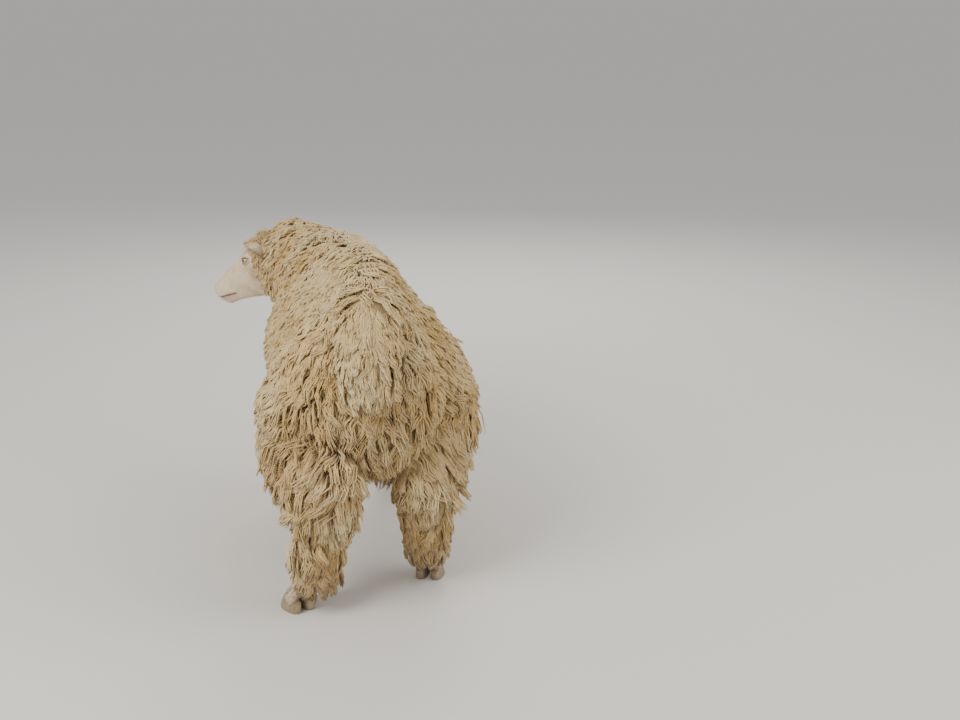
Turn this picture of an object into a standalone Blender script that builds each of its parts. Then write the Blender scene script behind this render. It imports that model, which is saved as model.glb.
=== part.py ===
# A long-woolled ewe, standing, life size. Metres, +Z up, the floor at z = 0.
# She looks along +Y with her neck bent to her left (-X) and her head carried low.
# Her forms are swept rings. Wool clumps are joined to them, and thin cuts part the body.

import math
import random

import bmesh
import bpy
from mathutils import Matrix, Vector

gap = 0.0003

# Wool: how far its tips stand off the skin, how much of that the solid core fills, how deep roots sink.
fleece_depth = 0.047
britch_depth = 0.050
leg_wool_depth = 0.044
poll_wool_depth = 0.020
core_share = 0.45
root_depth = 0.020
shortest_edge = 0.013

# Trunk under the wool: forward place, top, underside, half width, fullness of its upper half.
trunk_rows = (
    (-0.054, 0.560, 0.455, 0.036, 1.8),
    (-0.030, 0.587, 0.368, 0.068, 1.4),
    (0.020, 0.602, 0.300, 0.095, 1.2),
    (0.090, 0.606, 0.275, 0.115, 1.1),
    (0.180, 0.600, 0.275, 0.128, 1.08),
    (0.290, 0.589, 0.268, 0.140, 1.08),
    (0.400, 0.575, 0.256, 0.144, 1.15),
    (0.505, 0.561, 0.262, 0.138, 1.25),
    (0.600, 0.547, 0.285, 0.120, 1.4),
    (0.665, 0.528, 0.316, 0.097, 1.6),
    (0.712, 0.497, 0.355, 0.065, 1.8),
    (0.735, 0.463, 0.390, 0.034, 2.0),
)
bend_start = 0.05
bend_rate = 0.20

# Neck under the wool: place of its axis, half width, half depth.
neck_rows = (
    (-0.052, 0.560, 0.436, 0.096, 0.108),
    (-0.072, 0.650, 0.450, 0.086, 0.104),
    (-0.102, 0.730, 0.462, 0.072, 0.090),
    (-0.141, 0.810, 0.475, 0.060, 0.077),
    (-0.176, 0.872, 0.478, 0.054, 0.068),
)

# Head, from the back of the skull to the nose: place along it, top, underside, half width,
# fullness of its upper half and of its jaw.
head_rows = (
    (-0.030, 0.026, -0.040, 0.030, 2.0, 2.0),
    (-0.010, 0.046, -0.070, 0.046, 2.1, 1.8),
    (0.020, 0.057, -0.088, 0.054, 2.2, 1.6),
    (0.050, 0.060, -0.090, 0.057, 2.3, 1.5),
    (0.078, 0.057, -0.080, 0.057, 2.4, 1.5),
    (0.105, 0.051, -0.069, 0.048, 2.3, 1.5),
    (0.135, 0.043, -0.060, 0.039, 2.2, 1.6),
    (0.165, 0.034, -0.053, 0.034, 2.2, 1.7),
    (0.190, 0.026, -0.049, 0.033, 2.3, 1.9),
    (0.212, 0.016, -0.045, 0.032, 2.3, 2.1),
    (0.227, 0.004, -0.038, 0.026, 2.2, 2.1),
    (0.234, -0.006, -0.030, 0.016, 2.0, 2.0),
)
# Soft swellings and hollows of both sides of the head: place (along, side, up), reach, push the same way.
head_swells = (
    ((0.078, 0.052, 0.030), 0.017, (0, 0.0070, 0.0030)),
    ((0.104, 0.050, 0.010), 0.016, (0, -0.0040, 0)),
    ((0.045, 0.050, 0.040), 0.018, (0, -0.0040, 0)),
    ((0.040, 0.046, -0.040), 0.030, (0, 0.0080, 0)),
    ((0.072, 0.040, -0.060), 0.022, (0, -0.0040, 0.0030)),
    ((0.128, 0.038, -0.008), 0.020, (0, 0.0040, 0)),
    ((0.176, 0.034, -0.002), 0.018, (0, -0.0035, 0)),
    ((0.190, 0.026, -0.040), 0.016, (0, -0.0030, 0.0030)),
    ((0.221, 0.020, 0.002), 0.011, (0.0020, 0.0040, 0.0010)),
    ((0.210, 0.033, -0.020), 0.014, (0, 0.0030, -0.0010)),
    ((0.212, 0.012, -0.044), 0.013, (0.0030, 0.0010, -0.0040)),
    ((0.236, 0.000, -0.012), 0.006, (-0.0030, 0, 0)),
)
head_place = Vector((-0.186, 0.896, 0.488))
head_turn = math.radians(58)
head_nod = math.radians(27)

eye_radius = 0.0135
eye_place = (0.080, 0.0480, 0.022)
lid_radius = 0.0030
ear_length = 0.115
ear_width = 0.058
ear_root = (0.014, 0.046, 0.028)
ear_thickness = 0.0035
ear_stub = 0.014

# Legs: side of the body, foot, how far the toes turn out, hock or knee, and the top of the limb.
hind_legs = {
    "left": dict(sign=-1, foot=(-0.143, 0.000), toe_out=32, fetlock=(-0.105, -0.028),
                 hock=(-0.078, -0.042), stifle=(-0.104, 0.115)),
    "right": dict(sign=1, foot=(0.112, 0.122), toe_out=14, fetlock=(0.103, 0.090),
                  hock=(0.094, 0.050), stifle=(0.104, 0.175)),
}
front_legs = {
    "left": dict(sign=-1, foot=(-0.136, 0.575), toe_out=18, fetlock=(-0.126, 0.546),
                 knee=(-0.120, 0.550), elbow=(-0.118, 0.540)),
    "right": dict(sign=1, foot=(0.052, 0.640), toe_out=0, fetlock=(0.050, 0.609),
                  knee=(0.046, 0.602), elbow=(0.040, 0.585)),
}
fetlock_height = 0.072
hock_height = 0.245
knee_height = 0.185

claw_length = 0.066
claw_width = 0.026
claw_height = 0.034
cleft = 0.0035

tail_length = 0.120
udder_place = Vector((0.0, 0.170, 0.268))
udder_size = (0.060, 0.078, 0.060)
teat_length = 0.024

# Wool clumps of each form: span along it, rows, clumps a row, half width, how far the tips bend.
trunk_clumps = dict(span=(0.0, 1.0), rows=11, ends=6, middle=6, half=(0.034, 0.024), hang=0.42)
neck_clumps = dict(span=(0.35, 1.0), rows=3, across=7, half=0.044, hang=0.42)
tail_clumps = dict(span=(0.15, 1.0), rows=3, across=4, half=0.022, hang=0.50)
poll_clumps = dict(span=(0.06, 0.32), rows=4, across=4, half=0.022, hang=0.30, arc=(-0.17, 0.17))
thigh_clumps = dict(span=(0.04, 0.42), rows=3, across=6, half=0.050, hang=0.50)
arm_clumps = dict(span=(0.04, 0.42), rows=2, across=5, half=0.050, hang=0.50)
shank_clumps = dict(span=(0.42, 0.74), rows=4, across=5, half=0.032, hang=0.60)
ear_clearance = 0.052
ear_room = 0.003

# Where the cuts between the nodes lie.
neck_cut = 0.42
neck_low = 0.240
head_back = 0.790
head_low = 0.290
tail_cut = dict(front=-0.092, half=0.050, low=0.400, high=0.640)
udder_cut = dict(back=0.092, front=0.252, half=0.072, low=0.180, high=0.236)
groin_height = 0.236
leg_cuts = {
    "hind": dict(middle=0, rise=0.150, back=-0.30, front=0.290),
    "front": dict(middle=-0.040, rise=0.115, back=0.455, front=0.740),
}

wool_colour = (0.66, 0.56, 0.38)
face_colour = (0.62, 0.52, 0.40)
skin_colour = (0.62, 0.42, 0.34)
horn_colour = (0.12, 0.10, 0.08)
eye_colour = (0.36, 0.22, 0.07)

side_axis = Vector((1, 0, 0))
draw = random.Random(14)


def clear_scene():
    for thing in list(bpy.data.objects):
        bpy.data.objects.remove(thing, do_unlink=True)


def make_material(name, colour, roughness):
    material = bpy.data.materials.new(name)
    material.use_nodes = True
    shader = material.node_tree.nodes["Principled BSDF"]
    shader.inputs["Base Color"].default_value = (*colour, 1)
    shader.inputs["Roughness"].default_value = roughness
    return material


def read_rows(rows, t):
    # A smooth curve through rows of numbers, read at t from 0 to 1.
    place = min(max(t, 0.0), 1.0) * (len(rows) - 1)
    first = min(int(place), len(rows) - 2)
    f = place - first
    before = rows[max(first - 1, 0)]
    after = rows[min(first + 2, len(rows) - 1)]
    values = []
    for p0, p1, p2, p3 in zip(before, rows[first], rows[first + 1], after):
        slope1, slope2 = (p2 - p0) / 2, (p3 - p1) / 2
        values.append(p1 + f * slope1 + f * f * (3 * (p2 - p1) - 2 * slope1 - slope2)
                      + f ** 3 * (2 * (p1 - p2) + slope1 + slope2))
    return values


class Form:
    # A limb or body form: rings (place, half width, rise, drop, fullness up, fullness down) on a path.

    def __init__(self, read, side=side_axis, upright=False):
        self.read = read
        self.side = side
        self.upright = upright

    def centre(self, t):
        return self.read(t)[0]

    def frame(self, t):
        step = 0.01
        along = self.centre(min(t + step, 1)) - self.centre(max(t - step, 0))
        if self.upright:
            along.z = 0
        along.normalize()
        side = (self.side - along * self.side.dot(along)).normalized()
        return along, side, side.cross(along)

    def bare(self, t, angle):
        place, half, rise, drop, full_up, full_down = self.read(t)
        side, up = self.frame(t)[1:]
        c, s = math.cos(angle), math.sin(angle)
        full = full_up if s > 0 else full_down
        across = math.copysign(abs(c) ** (2 / full), c)
        height = math.copysign(abs(s) ** (2 / full), s)
        return place + side * half * across + up * (rise if s > 0 else drop) * height

    def normal(self, t, angle):
        step, turn = 0.015, 0.12
        along = self.bare(min(t + step, 1), angle) - self.bare(max(t - step, 0), angle)
        around = self.bare(t, angle + turn) - self.bare(t, angle - turn)
        normal = along.cross(around).normalized()
        if normal.dot(self.bare(t, angle) - self.centre(t)) < 0:
            normal = -normal
        return normal

    def point(self, t, angle, depth=0.0):
        return self.bare(t, angle) + self.normal(t, angle) * depth

    def mesh(self, bm, rings, sides, depth=0.0):
        # Both ends close on a pole that stands out by the depth.
        loops = []
        for i in range(rings):
            t = i / (rings - 1)
            loops.append([bm.verts.new(self.point(t, math.tau * j / sides, depth))
                          for j in range(sides)])
        for i in range(rings - 1):
            for j in range(sides):
                k = (j + 1) % sides
                bm.faces.new((loops[i][j], loops[i][k], loops[i + 1][k], loops[i + 1][j]))
        for t, loop, way in ((0, loops[0], -1), (1, loops[-1], 1)):
            size = self.read(t)[1]
            pole = self.centre(t) + self.frame(t)[0] * way * (size * 0.4 + depth * 0.7)
            tip = bm.verts.new(pole)
            for j in range(sides):
                bm.faces.new((loop[j], loop[(j + 1) % sides], tip))
        bmesh.ops.recalc_face_normals(bm, faces=bm.faces[:])


def new_object(name, bm, collection=None):
    mesh = bpy.data.meshes.new(name)
    bmesh.ops.triangulate(bm, faces=bm.faces[:])
    bm.to_mesh(mesh)
    bm.free()
    thing = bpy.data.objects.new(name, mesh)
    (collection or bpy.context.scene.collection).objects.link(thing)
    return thing


def form_object(name, form, rings, sides, depth, collection):
    bm = bmesh.new()
    form.mesh(bm, rings, sides, depth)
    return new_object(name, bm, collection)


def apply_boolean(thing, operation, other=None, collection=None):
    cut = thing.modifiers.new("join", "BOOLEAN")
    cut.operation = operation
    cut.solver = "MANIFOLD"
    if collection:
        cut.operand_type = "COLLECTION"
        cut.collection = collection
    else:
        cut.object = other
    graph = bpy.context.evaluated_depsgraph_get()
    mesh = bpy.data.meshes.new_from_object(thing.evaluated_get(graph))
    thing.modifiers.clear()
    thing.data = mesh


def join_all(name, collection, body=None):
    # Joins every closed mesh of the collection into one object, or onto the body.
    if body is None:
        body = collection.objects[0]
        collection.objects.unlink(body)
        bpy.context.scene.collection.objects.link(body)
    apply_boolean(body, "UNION", collection=collection)
    for thing in list(collection.objects):
        bpy.data.objects.remove(thing, do_unlink=True)
    bpy.data.collections.remove(collection)
    body.name = name
    return body


def new_collection(name):
    collection = bpy.data.collections.new(name)
    bpy.context.scene.collection.children.link(collection)
    return collection


def mesh_islands(faces, around):
    # Groups of faces that hang together.
    islands, seen = [], set()
    for start in faces:
        if start in seen:
            continue
        stack, island = [start], []
        seen.add(start)
        while stack:
            face = stack.pop()
            island.append(face)
            for vert in faces[face]:
                for other in around[vert]:
                    if other not in seen:
                        seen.add(other)
                        stack.append(other)
        islands.append(island)
    return islands


def folds(faces, around, spots, vert, shared, target):
    for face in around[vert] - shared:
        old = [spots[v] for v in faces[face]]
        new = [target if v == vert else spots[v] for v in faces[face]]
        before = (old[1] - old[0]).cross(old[2] - old[0])
        after = (new[1] - new[0]).cross(new[2] - new[0])
        if after.length < 1e-9 or before.dot(after) < 0.3 * before.length * after.length:
            return True
    return False


def collapse_short(faces, around, spots, shortest):
    # Merges the ends of short edges where the surface stays closed and unfolded.
    edges = {tuple(sorted(pair)) for f in faces.values() for pair in zip(f, f[1:] + f[:1])}
    lengths = sorted(((spots[a] - spots[b]).length, a, b) for a, b in edges)
    for a, b in [(a, b) for length, a, b in lengths if length < shortest]:
        shared = around[a] & around[b]
        if len(shared) != 2 or (spots[a] - spots[b]).length >= shortest:
            continue
        near_a = {v for f in around[a] for v in faces[f]}
        near_b = {v for f in around[b] for v in faces[f]}
        if len(near_a & near_b) != 4:
            continue
        middle = (spots[a] + spots[b]) / 2
        if any(folds(faces, around, spots, vert, shared, middle) for vert in (a, b)):
            continue
        for face in shared:
            for vert in faces.pop(face):
                around[vert].discard(face)
        for face in around[b]:
            faces[face] = [a if v == b else v for v in faces[face]]
            around[a].add(face)
        around[b] = set()
        spots[a] = middle


def keep_largest(thing, shortest=0.00015):
    # Keeps the closed surface with the largest volume, without slivers.
    bm = bmesh.new()
    bm.from_mesh(thing.data)
    bmesh.ops.triangulate(bm, faces=bm.faces[:])
    bm.verts.index_update()
    spots = [v.co.copy() for v in bm.verts]
    faces = {i: [v.index for v in face.verts] for i, face in enumerate(bm.faces)}
    bm.free()
    around = [set() for _ in spots]
    for index, face in faces.items():
        for vert in face:
            around[vert].add(index)

    def volume(island):
        return sum(spots[a].dot(spots[b].cross(spots[c])) for a, b, c in (faces[f] for f in island)) / 6

    largest = set(max(mesh_islands(faces, around), key=volume))
    faces = {i: face for i, face in faces.items() if i in largest}
    around = [group & largest for group in around]
    collapse_short(faces, around, spots, shortest)
    used = sorted({v for face in faces.values() for v in face})
    place = {vert: i for i, vert in enumerate(used)}
    mesh = bpy.data.meshes.new(thing.name)
    mesh.from_pydata([spots[v] for v in used], [], [[place[v] for v in face] for face in faces.values()])
    thing.data = mesh


def cell_object(planes, grow):
    # A convex block inside all planes (point, outward direction), each moved out by grow.
    bm = bmesh.new()
    bmesh.ops.create_cube(bm, size=4)
    for point, outward in planes:
        outward = Vector(outward).normalized()
        cut = bmesh.ops.bisect_plane(
            bm, geom=bm.verts[:] + bm.edges[:] + bm.faces[:], clear_outer=True,
            plane_co=Vector(point) + outward * grow, plane_no=outward)
        rim = [g for g in cut["geom_cut"] if isinstance(g, bmesh.types.BMEdge)]
        bmesh.ops.edgeloop_fill(bm, edges=rim)
    bmesh.ops.recalc_face_normals(bm, faces=bm.faces[:])
    return new_object("cell", bm)


def part_off(name, body, planes):
    # Takes the part of the body inside the planes as a node of its own, with a thin gap.
    node = body.copy()
    node.data = body.data.copy()
    node.name = name
    bpy.context.scene.collection.objects.link(node)
    inner = cell_object(planes, 0.0)
    outer = cell_object(planes, gap)
    apply_boolean(node, "INTERSECT", inner)
    apply_boolean(body, "DIFFERENCE", outer)
    bpy.data.objects.remove(inner, do_unlink=True)
    bpy.data.objects.remove(outer, do_unlink=True)
    keep_largest(node)
    return node


def cut_with(thing, bm):
    cutter = new_object("cutter", bm)
    apply_boolean(thing, "DIFFERENCE", cutter)
    bpy.data.objects.remove(cutter, do_unlink=True)


# Trunk, neck and head.

def midline(y):
    return -bend_rate * max(y - bend_start, 0) ** 2


def read_trunk(t):
    y, top, under, half, full = read_rows(trunk_rows, t)
    middle = under + (top - under) * 0.42
    place = Vector((midline(y), y, middle))
    return place, half, top - middle, middle - under, full, 2.1


def read_neck(t):
    x, y, z, half, depth = read_rows(neck_rows, t)
    return Vector((x, y, z)), half, depth, depth, 2.0, 2.0


def head_matrix():
    turn = Matrix.Rotation(head_turn, 4, "Z") @ Matrix.Rotation(-head_nod, 4, "X")
    return Matrix.Translation(head_place) @ turn


def in_head(along, side, up):
    # A place on the head: along its length, to her right, and up.
    return head_matrix() @ Vector((side, along, up))


def read_head(t):
    along, top, under, half, full, jaw = read_rows(head_rows, t)
    middle = under + (top - under) * 0.56
    return in_head(along, 0, middle), half, top - middle, middle - under, full, jaw


def swell_head(skull):
    back = head_matrix().inverted()
    for vert in skull.data.vertices:
        side, along, up = back @ vert.co
        moved = Vector((side, along, up))
        for place, reach, push in head_swells:
            for sign in (-1, 1):
                near = Vector((sign * place[1], place[0], place[2])) - Vector((side, along, up))
                weight = math.exp(-(near.length / reach) ** 2) / (2 if place[1] == 0 else 1)
                moved += Vector((sign * push[1], push[0], push[2])) * weight
        vert.co = head_matrix() @ moved


def head_side():
    return head_matrix().to_3x3() @ side_axis


trunk = Form(read_trunk, upright=True)
neck = Form(read_neck, Vector((0.93, 0.36, 0)))
head = Form(read_head, head_side())


def read_tail(t):
    drop = tail_length * t
    back = 0.050 + 0.058 * math.sin(math.pi * min(t * 1.5, 1) / 2)
    place = Vector((0, -back, 0.575 - drop))
    size = 0.022 - 0.006 * t
    return place, size, size, size * 0.8, 2.0, 2.0


tail = Form(read_tail)


# Legs.

def hind_rows(leg):
    s = leg["sign"]
    sx, sy = leg["stifle"]
    hx, hy = leg["hock"]
    fx, fy = leg["fetlock"]
    px, py = leg["foot"]
    return (
        (s * 0.044, sy, 0.490, 0.036, 0.080),
        (s * 0.072, sy - 0.022, 0.430, 0.054, 0.122),
        (sx, sy - 0.018, 0.362, 0.062, 0.118),
        (sx, sy * 0.55 + hy * 0.45, 0.302, 0.052, 0.080),
        (hx, hy + 0.006, hock_height, 0.030, 0.040),
        (hx, hy + 0.010, 0.205, 0.020, 0.028),
        ((hx + fx) / 2, (hy + fy) / 2, 0.140, 0.017, 0.020),
        (fx, fy, fetlock_height, 0.021, 0.024),
        ((fx + px) / 2, (fy + py) / 2 - 0.002, 0.048, 0.020, 0.021),
        (px * 0.85 + fx * 0.15, py - 0.008, 0.030, 0.022, 0.024),
    )


def front_rows(leg):
    ex, ey = leg["elbow"]
    kx, ky = leg["knee"]
    fx, fy = leg["fetlock"]
    px, py = leg["foot"]
    inward = -leg["sign"] * 0.026
    return (
        (ex + inward, ey + 0.010, 0.440, 0.045, 0.078),
        (ex + inward * 0.3, ey + 0.006, 0.360, 0.046, 0.066),
        (ex, ey + 0.004, 0.300, 0.036, 0.048),
        ((ex + kx) / 2, (ey + ky) / 2 + 0.004, 0.240, 0.027, 0.033),
        (kx, ky + 0.003, knee_height, 0.024, 0.027),
        (kx, ky, 0.150, 0.018, 0.020),
        ((kx + fx) / 2, (ky + fy) / 2, 0.112, 0.016, 0.018),
        (fx, fy, fetlock_height, 0.020, 0.023),
        ((fx + px) / 2, (fy + py) / 2 - 0.002, 0.048, 0.019, 0.020),
        (px * 0.85 + fx * 0.15, py - 0.008, 0.030, 0.021, 0.023),
    )


def leg_form(rows):
    def read(t):
        x, y, z, half, depth = read_rows(rows, t)
        return Vector((x, y, z)), half, depth, depth, 2.0, 2.0
    return Form(read)


def foot_matrix(leg):
    turn = Matrix.Rotation(-leg["sign"] * math.radians(leg["toe_out"]), 4, "Z")
    x, y = leg["foot"]
    return Matrix.Translation(Vector((x, y, 0))) @ turn


def claw_object(name, leg, side, material):
    # One claw: a flat sole, a wall that slopes back from the toe, a rounded heel.
    place = foot_matrix(leg)
    bm = bmesh.new()
    levels = ((0.0, 0.0, 1.0), (0.35, -0.05, 0.99), (0.78, -0.13, 0.90), (1.0, -0.19, 0.80))
    sides = 12
    loops = []
    for height, shift, scale in levels:
        loop = []
        for j in range(sides):
            a = math.tau * (j + 0.5) / sides
            along = math.sin(a)
            narrow = 1 - 0.42 * max(along, 0) ** 1.6
            x = math.cos(a) * claw_width / 2 * scale * narrow
            x = x - side * 0.16 * claw_width * max(along, 0) ** 2
            y = along * claw_length / 2 * scale + shift * claw_length
            x = max(x, -claw_width / 2) if side > 0 else min(x, claw_width / 2)
            centre = side * (claw_width + cleft) / 2
            loop.append(bm.verts.new(place @ Vector((centre + x, y, height * claw_height))))
        loops.append(loop)
    for lower, upper in zip(loops, loops[1:]):
        for j in range(sides):
            k = (j + 1) % sides
            bm.faces.new((lower[j], lower[k], upper[k], upper[j]))
    bm.faces.new(loops[0][::-1])
    bm.faces.new(loops[-1])
    bmesh.ops.recalc_face_normals(bm, faces=bm.faces[:])
    claw = new_object(name, bm)
    claw.data.materials.append(material)
    return claw


# Ears, eyes and the openings of the head.

def ear_axes(sign):
    root = in_head(ear_root[0], sign * ear_root[1], ear_root[2])
    turn = head_matrix().to_3x3()
    out = (turn @ Vector((sign * 0.93, -0.30, -0.10))).normalized()
    front = (turn @ Vector((sign * 0.22, 0.80, -0.30))).normalized()
    front = (front - out * front.dot(out)).normalized()
    return root, out, front, out.cross(front)


def ear_object(name, sign, collection):
    # A leaf with a cup: wide in the middle, rolled at its root, the same triangles on both faces.
    root, out, front, up = ear_axes(sign)
    lengths, across = 9, 7
    bm = bmesh.new()
    faces = ([], [])
    for i in range(lengths):
        t = i / (lengths - 1)
        width = ear_width / 2 * (0.50 + 0.50 * math.sin(math.pi * min(t * 1.15, 1) ** 0.9))
        width = width * (1 - 0.55 * t ** 4)
        width = width * math.sqrt(max(1 - t ** 6, 0.05))
        roll = math.radians(150 - 85 * min(t * 1.4, 1))
        radius = width / math.sin(min(roll / 2, math.pi / 2))
        sag = -0.016 * t ** 2
        rows = ([], [])
        for j in range(across):
            a = roll * (j / (across - 1) - 0.5)
            cup = radius * (1 - math.cos(a))
            for k, push in ((0, 0.0), (1, -ear_thickness)):
                r = radius - push
                spot = root + out * (t * ear_length) + up * (math.sin(a) * r + sag)
                spot = spot + front * (cup + push * math.cos(a) - ear_thickness)
                rows[k].append(bm.verts.new(spot))
        faces[0].append(rows[0])
        faces[1].append(rows[1])
    for grid in faces:
        for i in range(lengths - 1):
            for j in range(across - 1):
                a, b = grid[i][j], grid[i + 1][j]
                c, d = grid[i + 1][j + 1], grid[i][j + 1]
                bm.faces.new((a, b, c))
                bm.faces.new((a, c, d))
    inner, outer = faces
    rim = [(i, 0) for i in range(lengths)] + [(lengths - 1, j) for j in range(1, across)]
    rim += [(i, across - 1) for i in range(lengths - 2, -1, -1)]
    rim += [(0, j) for j in range(across - 2, 0, -1)]
    for (i, j), (m, n) in zip(rim, rim[1:] + rim[:1]):
        bm.faces.new((inner[i][j], outer[i][j], outer[m][n]))
        bm.faces.new((inner[i][j], outer[m][n], inner[m][n]))
    bmesh.ops.recalc_face_normals(bm, faces=bm.faces[:])
    return new_object(name, bm, collection)


def ear_cut(sign, past):
    root, out = ear_axes(sign)[:2]
    return root + out * (ear_stub + past), out


def trim(thing, plane, way):
    # Cuts a closed mesh at a plane, keeps the side behind it (1) or in front of it (-1), and caps it.
    bm = bmesh.new()
    bm.from_mesh(thing.data)
    cut = bmesh.ops.bisect_plane(bm, geom=bm.verts[:] + bm.edges[:] + bm.faces[:], plane_co=plane[0],
                                 plane_no=plane[1] * way, clear_outer=True)
    rim = [g for g in cut["geom_cut"] if isinstance(g, bmesh.types.BMEdge)]
    bmesh.ops.edgeloop_fill(bm, edges=rim)
    bmesh.ops.triangulate(bm, faces=bm.faces[:])
    bmesh.ops.recalc_face_normals(bm, faces=bm.faces[:])
    bm.to_mesh(thing.data)
    bm.free()


def block_round(thing, grow):
    # The convex block round a closed mesh, a little larger than it.
    bm = bmesh.new()
    for vert in thing.data.vertices:
        bm.verts.new(vert.co)
    bmesh.ops.convex_hull(bm, input=bm.verts[:])
    bmesh.ops.delete(bm, geom=[v for v in bm.verts if not v.link_faces], context="VERTS")
    bmesh.ops.recalc_face_normals(bm, faces=bm.faces[:])
    bm.normal_update()
    for vert, push in [(v, v.normal.copy()) for v in bm.verts]:
        vert.co += push * grow
    return bm


def eye_centre(sign):
    return in_head(eye_place[0], sign * eye_place[1], eye_place[2])


def ball(centre, radius, across=12, high=8):
    bm = bmesh.new()
    bmesh.ops.create_uvsphere(bm, u_segments=across, v_segments=high, radius=radius,
                              matrix=Matrix.Translation(centre))
    return bm


def lid_object(name, sign, collection):
    # The lids' rim: a swept ring, almond-shaped, drawn over the front of the eye.
    turn = head_matrix().to_3x3()
    out = (turn @ Vector((sign * 0.93, 0.30, 0.16))).normalized()
    along = (turn @ Vector((0, 1, -0.18))).normalized()
    along = (along - out * along.dot(out)).normalized()
    up = out.cross(along) * sign
    centre = eye_centre(sign)
    steps, sides = 16, 6
    path = []
    for i in range(steps):
        a = math.tau * i / steps
        x = math.cos(a) * eye_radius * 1.12
        y = math.sin(a) * eye_radius * 0.74
        rise = math.sqrt(max((eye_radius * 1.12) ** 2 - min(x * x + y * y, (eye_radius * 1.1) ** 2), 0))
        path.append(centre + along * x + up * y + out * max(rise - 0.0015, 0.002))
    bm = bmesh.new()
    loops = []
    for i in range(steps):
        ahead = (path[(i + 1) % steps] - path[i - 1]).normalized()
        across = (path[i] - centre).normalized()
        across = (across - ahead * across.dot(ahead)).normalized()
        over = ahead.cross(across)
        loops.append([bm.verts.new(path[i] + (across * math.cos(math.tau * j / sides)
                                              + over * math.sin(math.tau * j / sides)) * lid_radius)
                      for j in range(sides)])
    for i in range(steps):
        for j in range(sides):
            k, m = (j + 1) % sides, (i + 1) % steps
            bm.faces.new((loops[i][j], loops[i][k], loops[m][k], loops[m][j]))
    bmesh.ops.recalc_face_normals(bm, faces=bm.faces[:])
    return new_object(name, bm, collection)


def mouth_height(along):
    return -0.024 - 0.010 * ((0.234 - along) / 0.07) ** 1.5


def mouth_cutter():
    # A thin curved blade that follows the lips from corner to corner.
    bm = bmesh.new()
    steps, open_half, depth, past = 9, 0.0007, 0.0032, 0.010
    inner, outer = [], []
    for sign in (1, -1):
        order = range(steps) if sign > 0 else range(steps - 1, -1, -1)
        for i in order:
            f = i / (steps - 1)
            along = 0.168 + 0.068 * math.sin(f * math.pi / 2)
            half = 0.0315 * math.cos(f * math.pi / 2 * 0.90) ** 0.55
            for loop, push in ((inner, -depth), (outer, past)):
                width = max(half + push, 0.0008)
                front = along + (push if f > 0.6 else push * f)
                loop.append((front, sign * width, mouth_height(min(along, 0.234))))
    rings = []
    for loop, lift in ((inner, -1), (outer, -1), (outer, 1), (inner, 1)):
        rings.append([bm.verts.new(in_head(x, y, z + lift * open_half)) for x, y, z in loop])
    count = len(inner)
    for a, b in zip(rings, rings[1:] + rings[:1]):
        for i in range(count - 1):
            bm.faces.new((a[i], a[i + 1], b[i + 1], b[i]))
    bm.faces.new([ring[0] for ring in rings])
    bm.faces.new([ring[-1] for ring in rings][::-1])
    bmesh.ops.recalc_face_normals(bm, faces=bm.faces[:])
    return bm


def nostril_cutter(sign):
    # A slanting comma that runs in and back from the front of the nose.
    bm = bmesh.new()
    loops, steps, sides = [], 5, 8
    for i in range(steps):
        f = i / (steps - 1)
        along = 0.243 - 0.032 * f
        side = sign * (0.0080 + 0.0130 * f)
        up = -0.010 + 0.017 * f
        size = 0.0062 * (1 - 0.45 * f)
        loops.append([bm.verts.new(in_head(along + 0.4 * size * math.cos(a),
                                           side + size * 0.62 * math.cos(a), up + size * math.sin(a)))
                      for a in (math.tau * j / sides for j in range(sides))])
    for a, b in zip(loops, loops[1:]):
        for j in range(sides):
            k = (j + 1) % sides
            bm.faces.new((a[j], a[k], b[k], b[j]))
    bm.faces.new(loops[0][::-1])
    bm.faces.new(loops[-1])
    bmesh.ops.recalc_face_normals(bm, faces=bm.faces[:])
    return bm


# Wool.

def clump_object(collection, root, out, lie, length, width, thick, hang, sides=5):
    # A rounded tapering clump: sunk root, full middle, blunt tip bent along the lie.
    across = out.cross(lie).normalized()
    bm = bmesh.new()
    loops = []
    for f, wide in ((0.0, 0.88), (0.50, 1.0), (0.84, 0.60)):
        centre = root + out * (length * f * (1 - 0.45 * hang * f)) + lie * (length * hang * f * f)
        ahead = (out * (1 - 0.9 * hang * f) + lie * (2 * hang * f)).normalized()
        over = ahead.cross(across).normalized()
        loops.append([bm.verts.new(centre + across * (math.cos(a) * width * wide)
                                   + over * (math.sin(a) * thick * wide))
                      for a in (math.tau * j / sides for j in range(sides))])
    tip = bm.verts.new(root + out * (length * (1 - 0.45 * hang)) + lie * (length * hang))
    for a, b in zip(loops, loops[1:]):
        for j in range(sides):
            k = (j + 1) % sides
            bm.faces.new((a[j], a[k], b[k], b[j]))
    bm.faces.new(loops[0][::-1])
    for j in range(sides):
        bm.faces.new((loops[-1][j], loops[-1][(j + 1) % sides], tip))
    bmesh.ops.recalc_face_normals(bm, faces=bm.faces[:])
    return new_object("clump", bm, collection)


def trunk_wool(spot):
    return fleece_depth


def leg_wool(spot):
    # Deep on the thigh and the upper arm, shallow on the shank, none by the foot.
    upper = min(max((spot.z - 0.17) / 0.06, 0), 1)
    lower = min(max((spot.z - 0.055) / 0.020, 0), 1)
    return (leg_wool_depth + (britch_depth - leg_wool_depth) * upper) * lower


def poll_wool(spot):
    return poll_wool_depth


def wool_lie(out, spot):
    # Wool falls to both sides of the spine and hangs down and a little back.
    away = math.copysign(0.9, spot.x - midline(spot.y)) if out.z > 0.3 else 0.0
    lie = Vector((away, -0.3, -1))
    return (lie - out * lie.dot(out) * 0.85).normalized()


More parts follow.
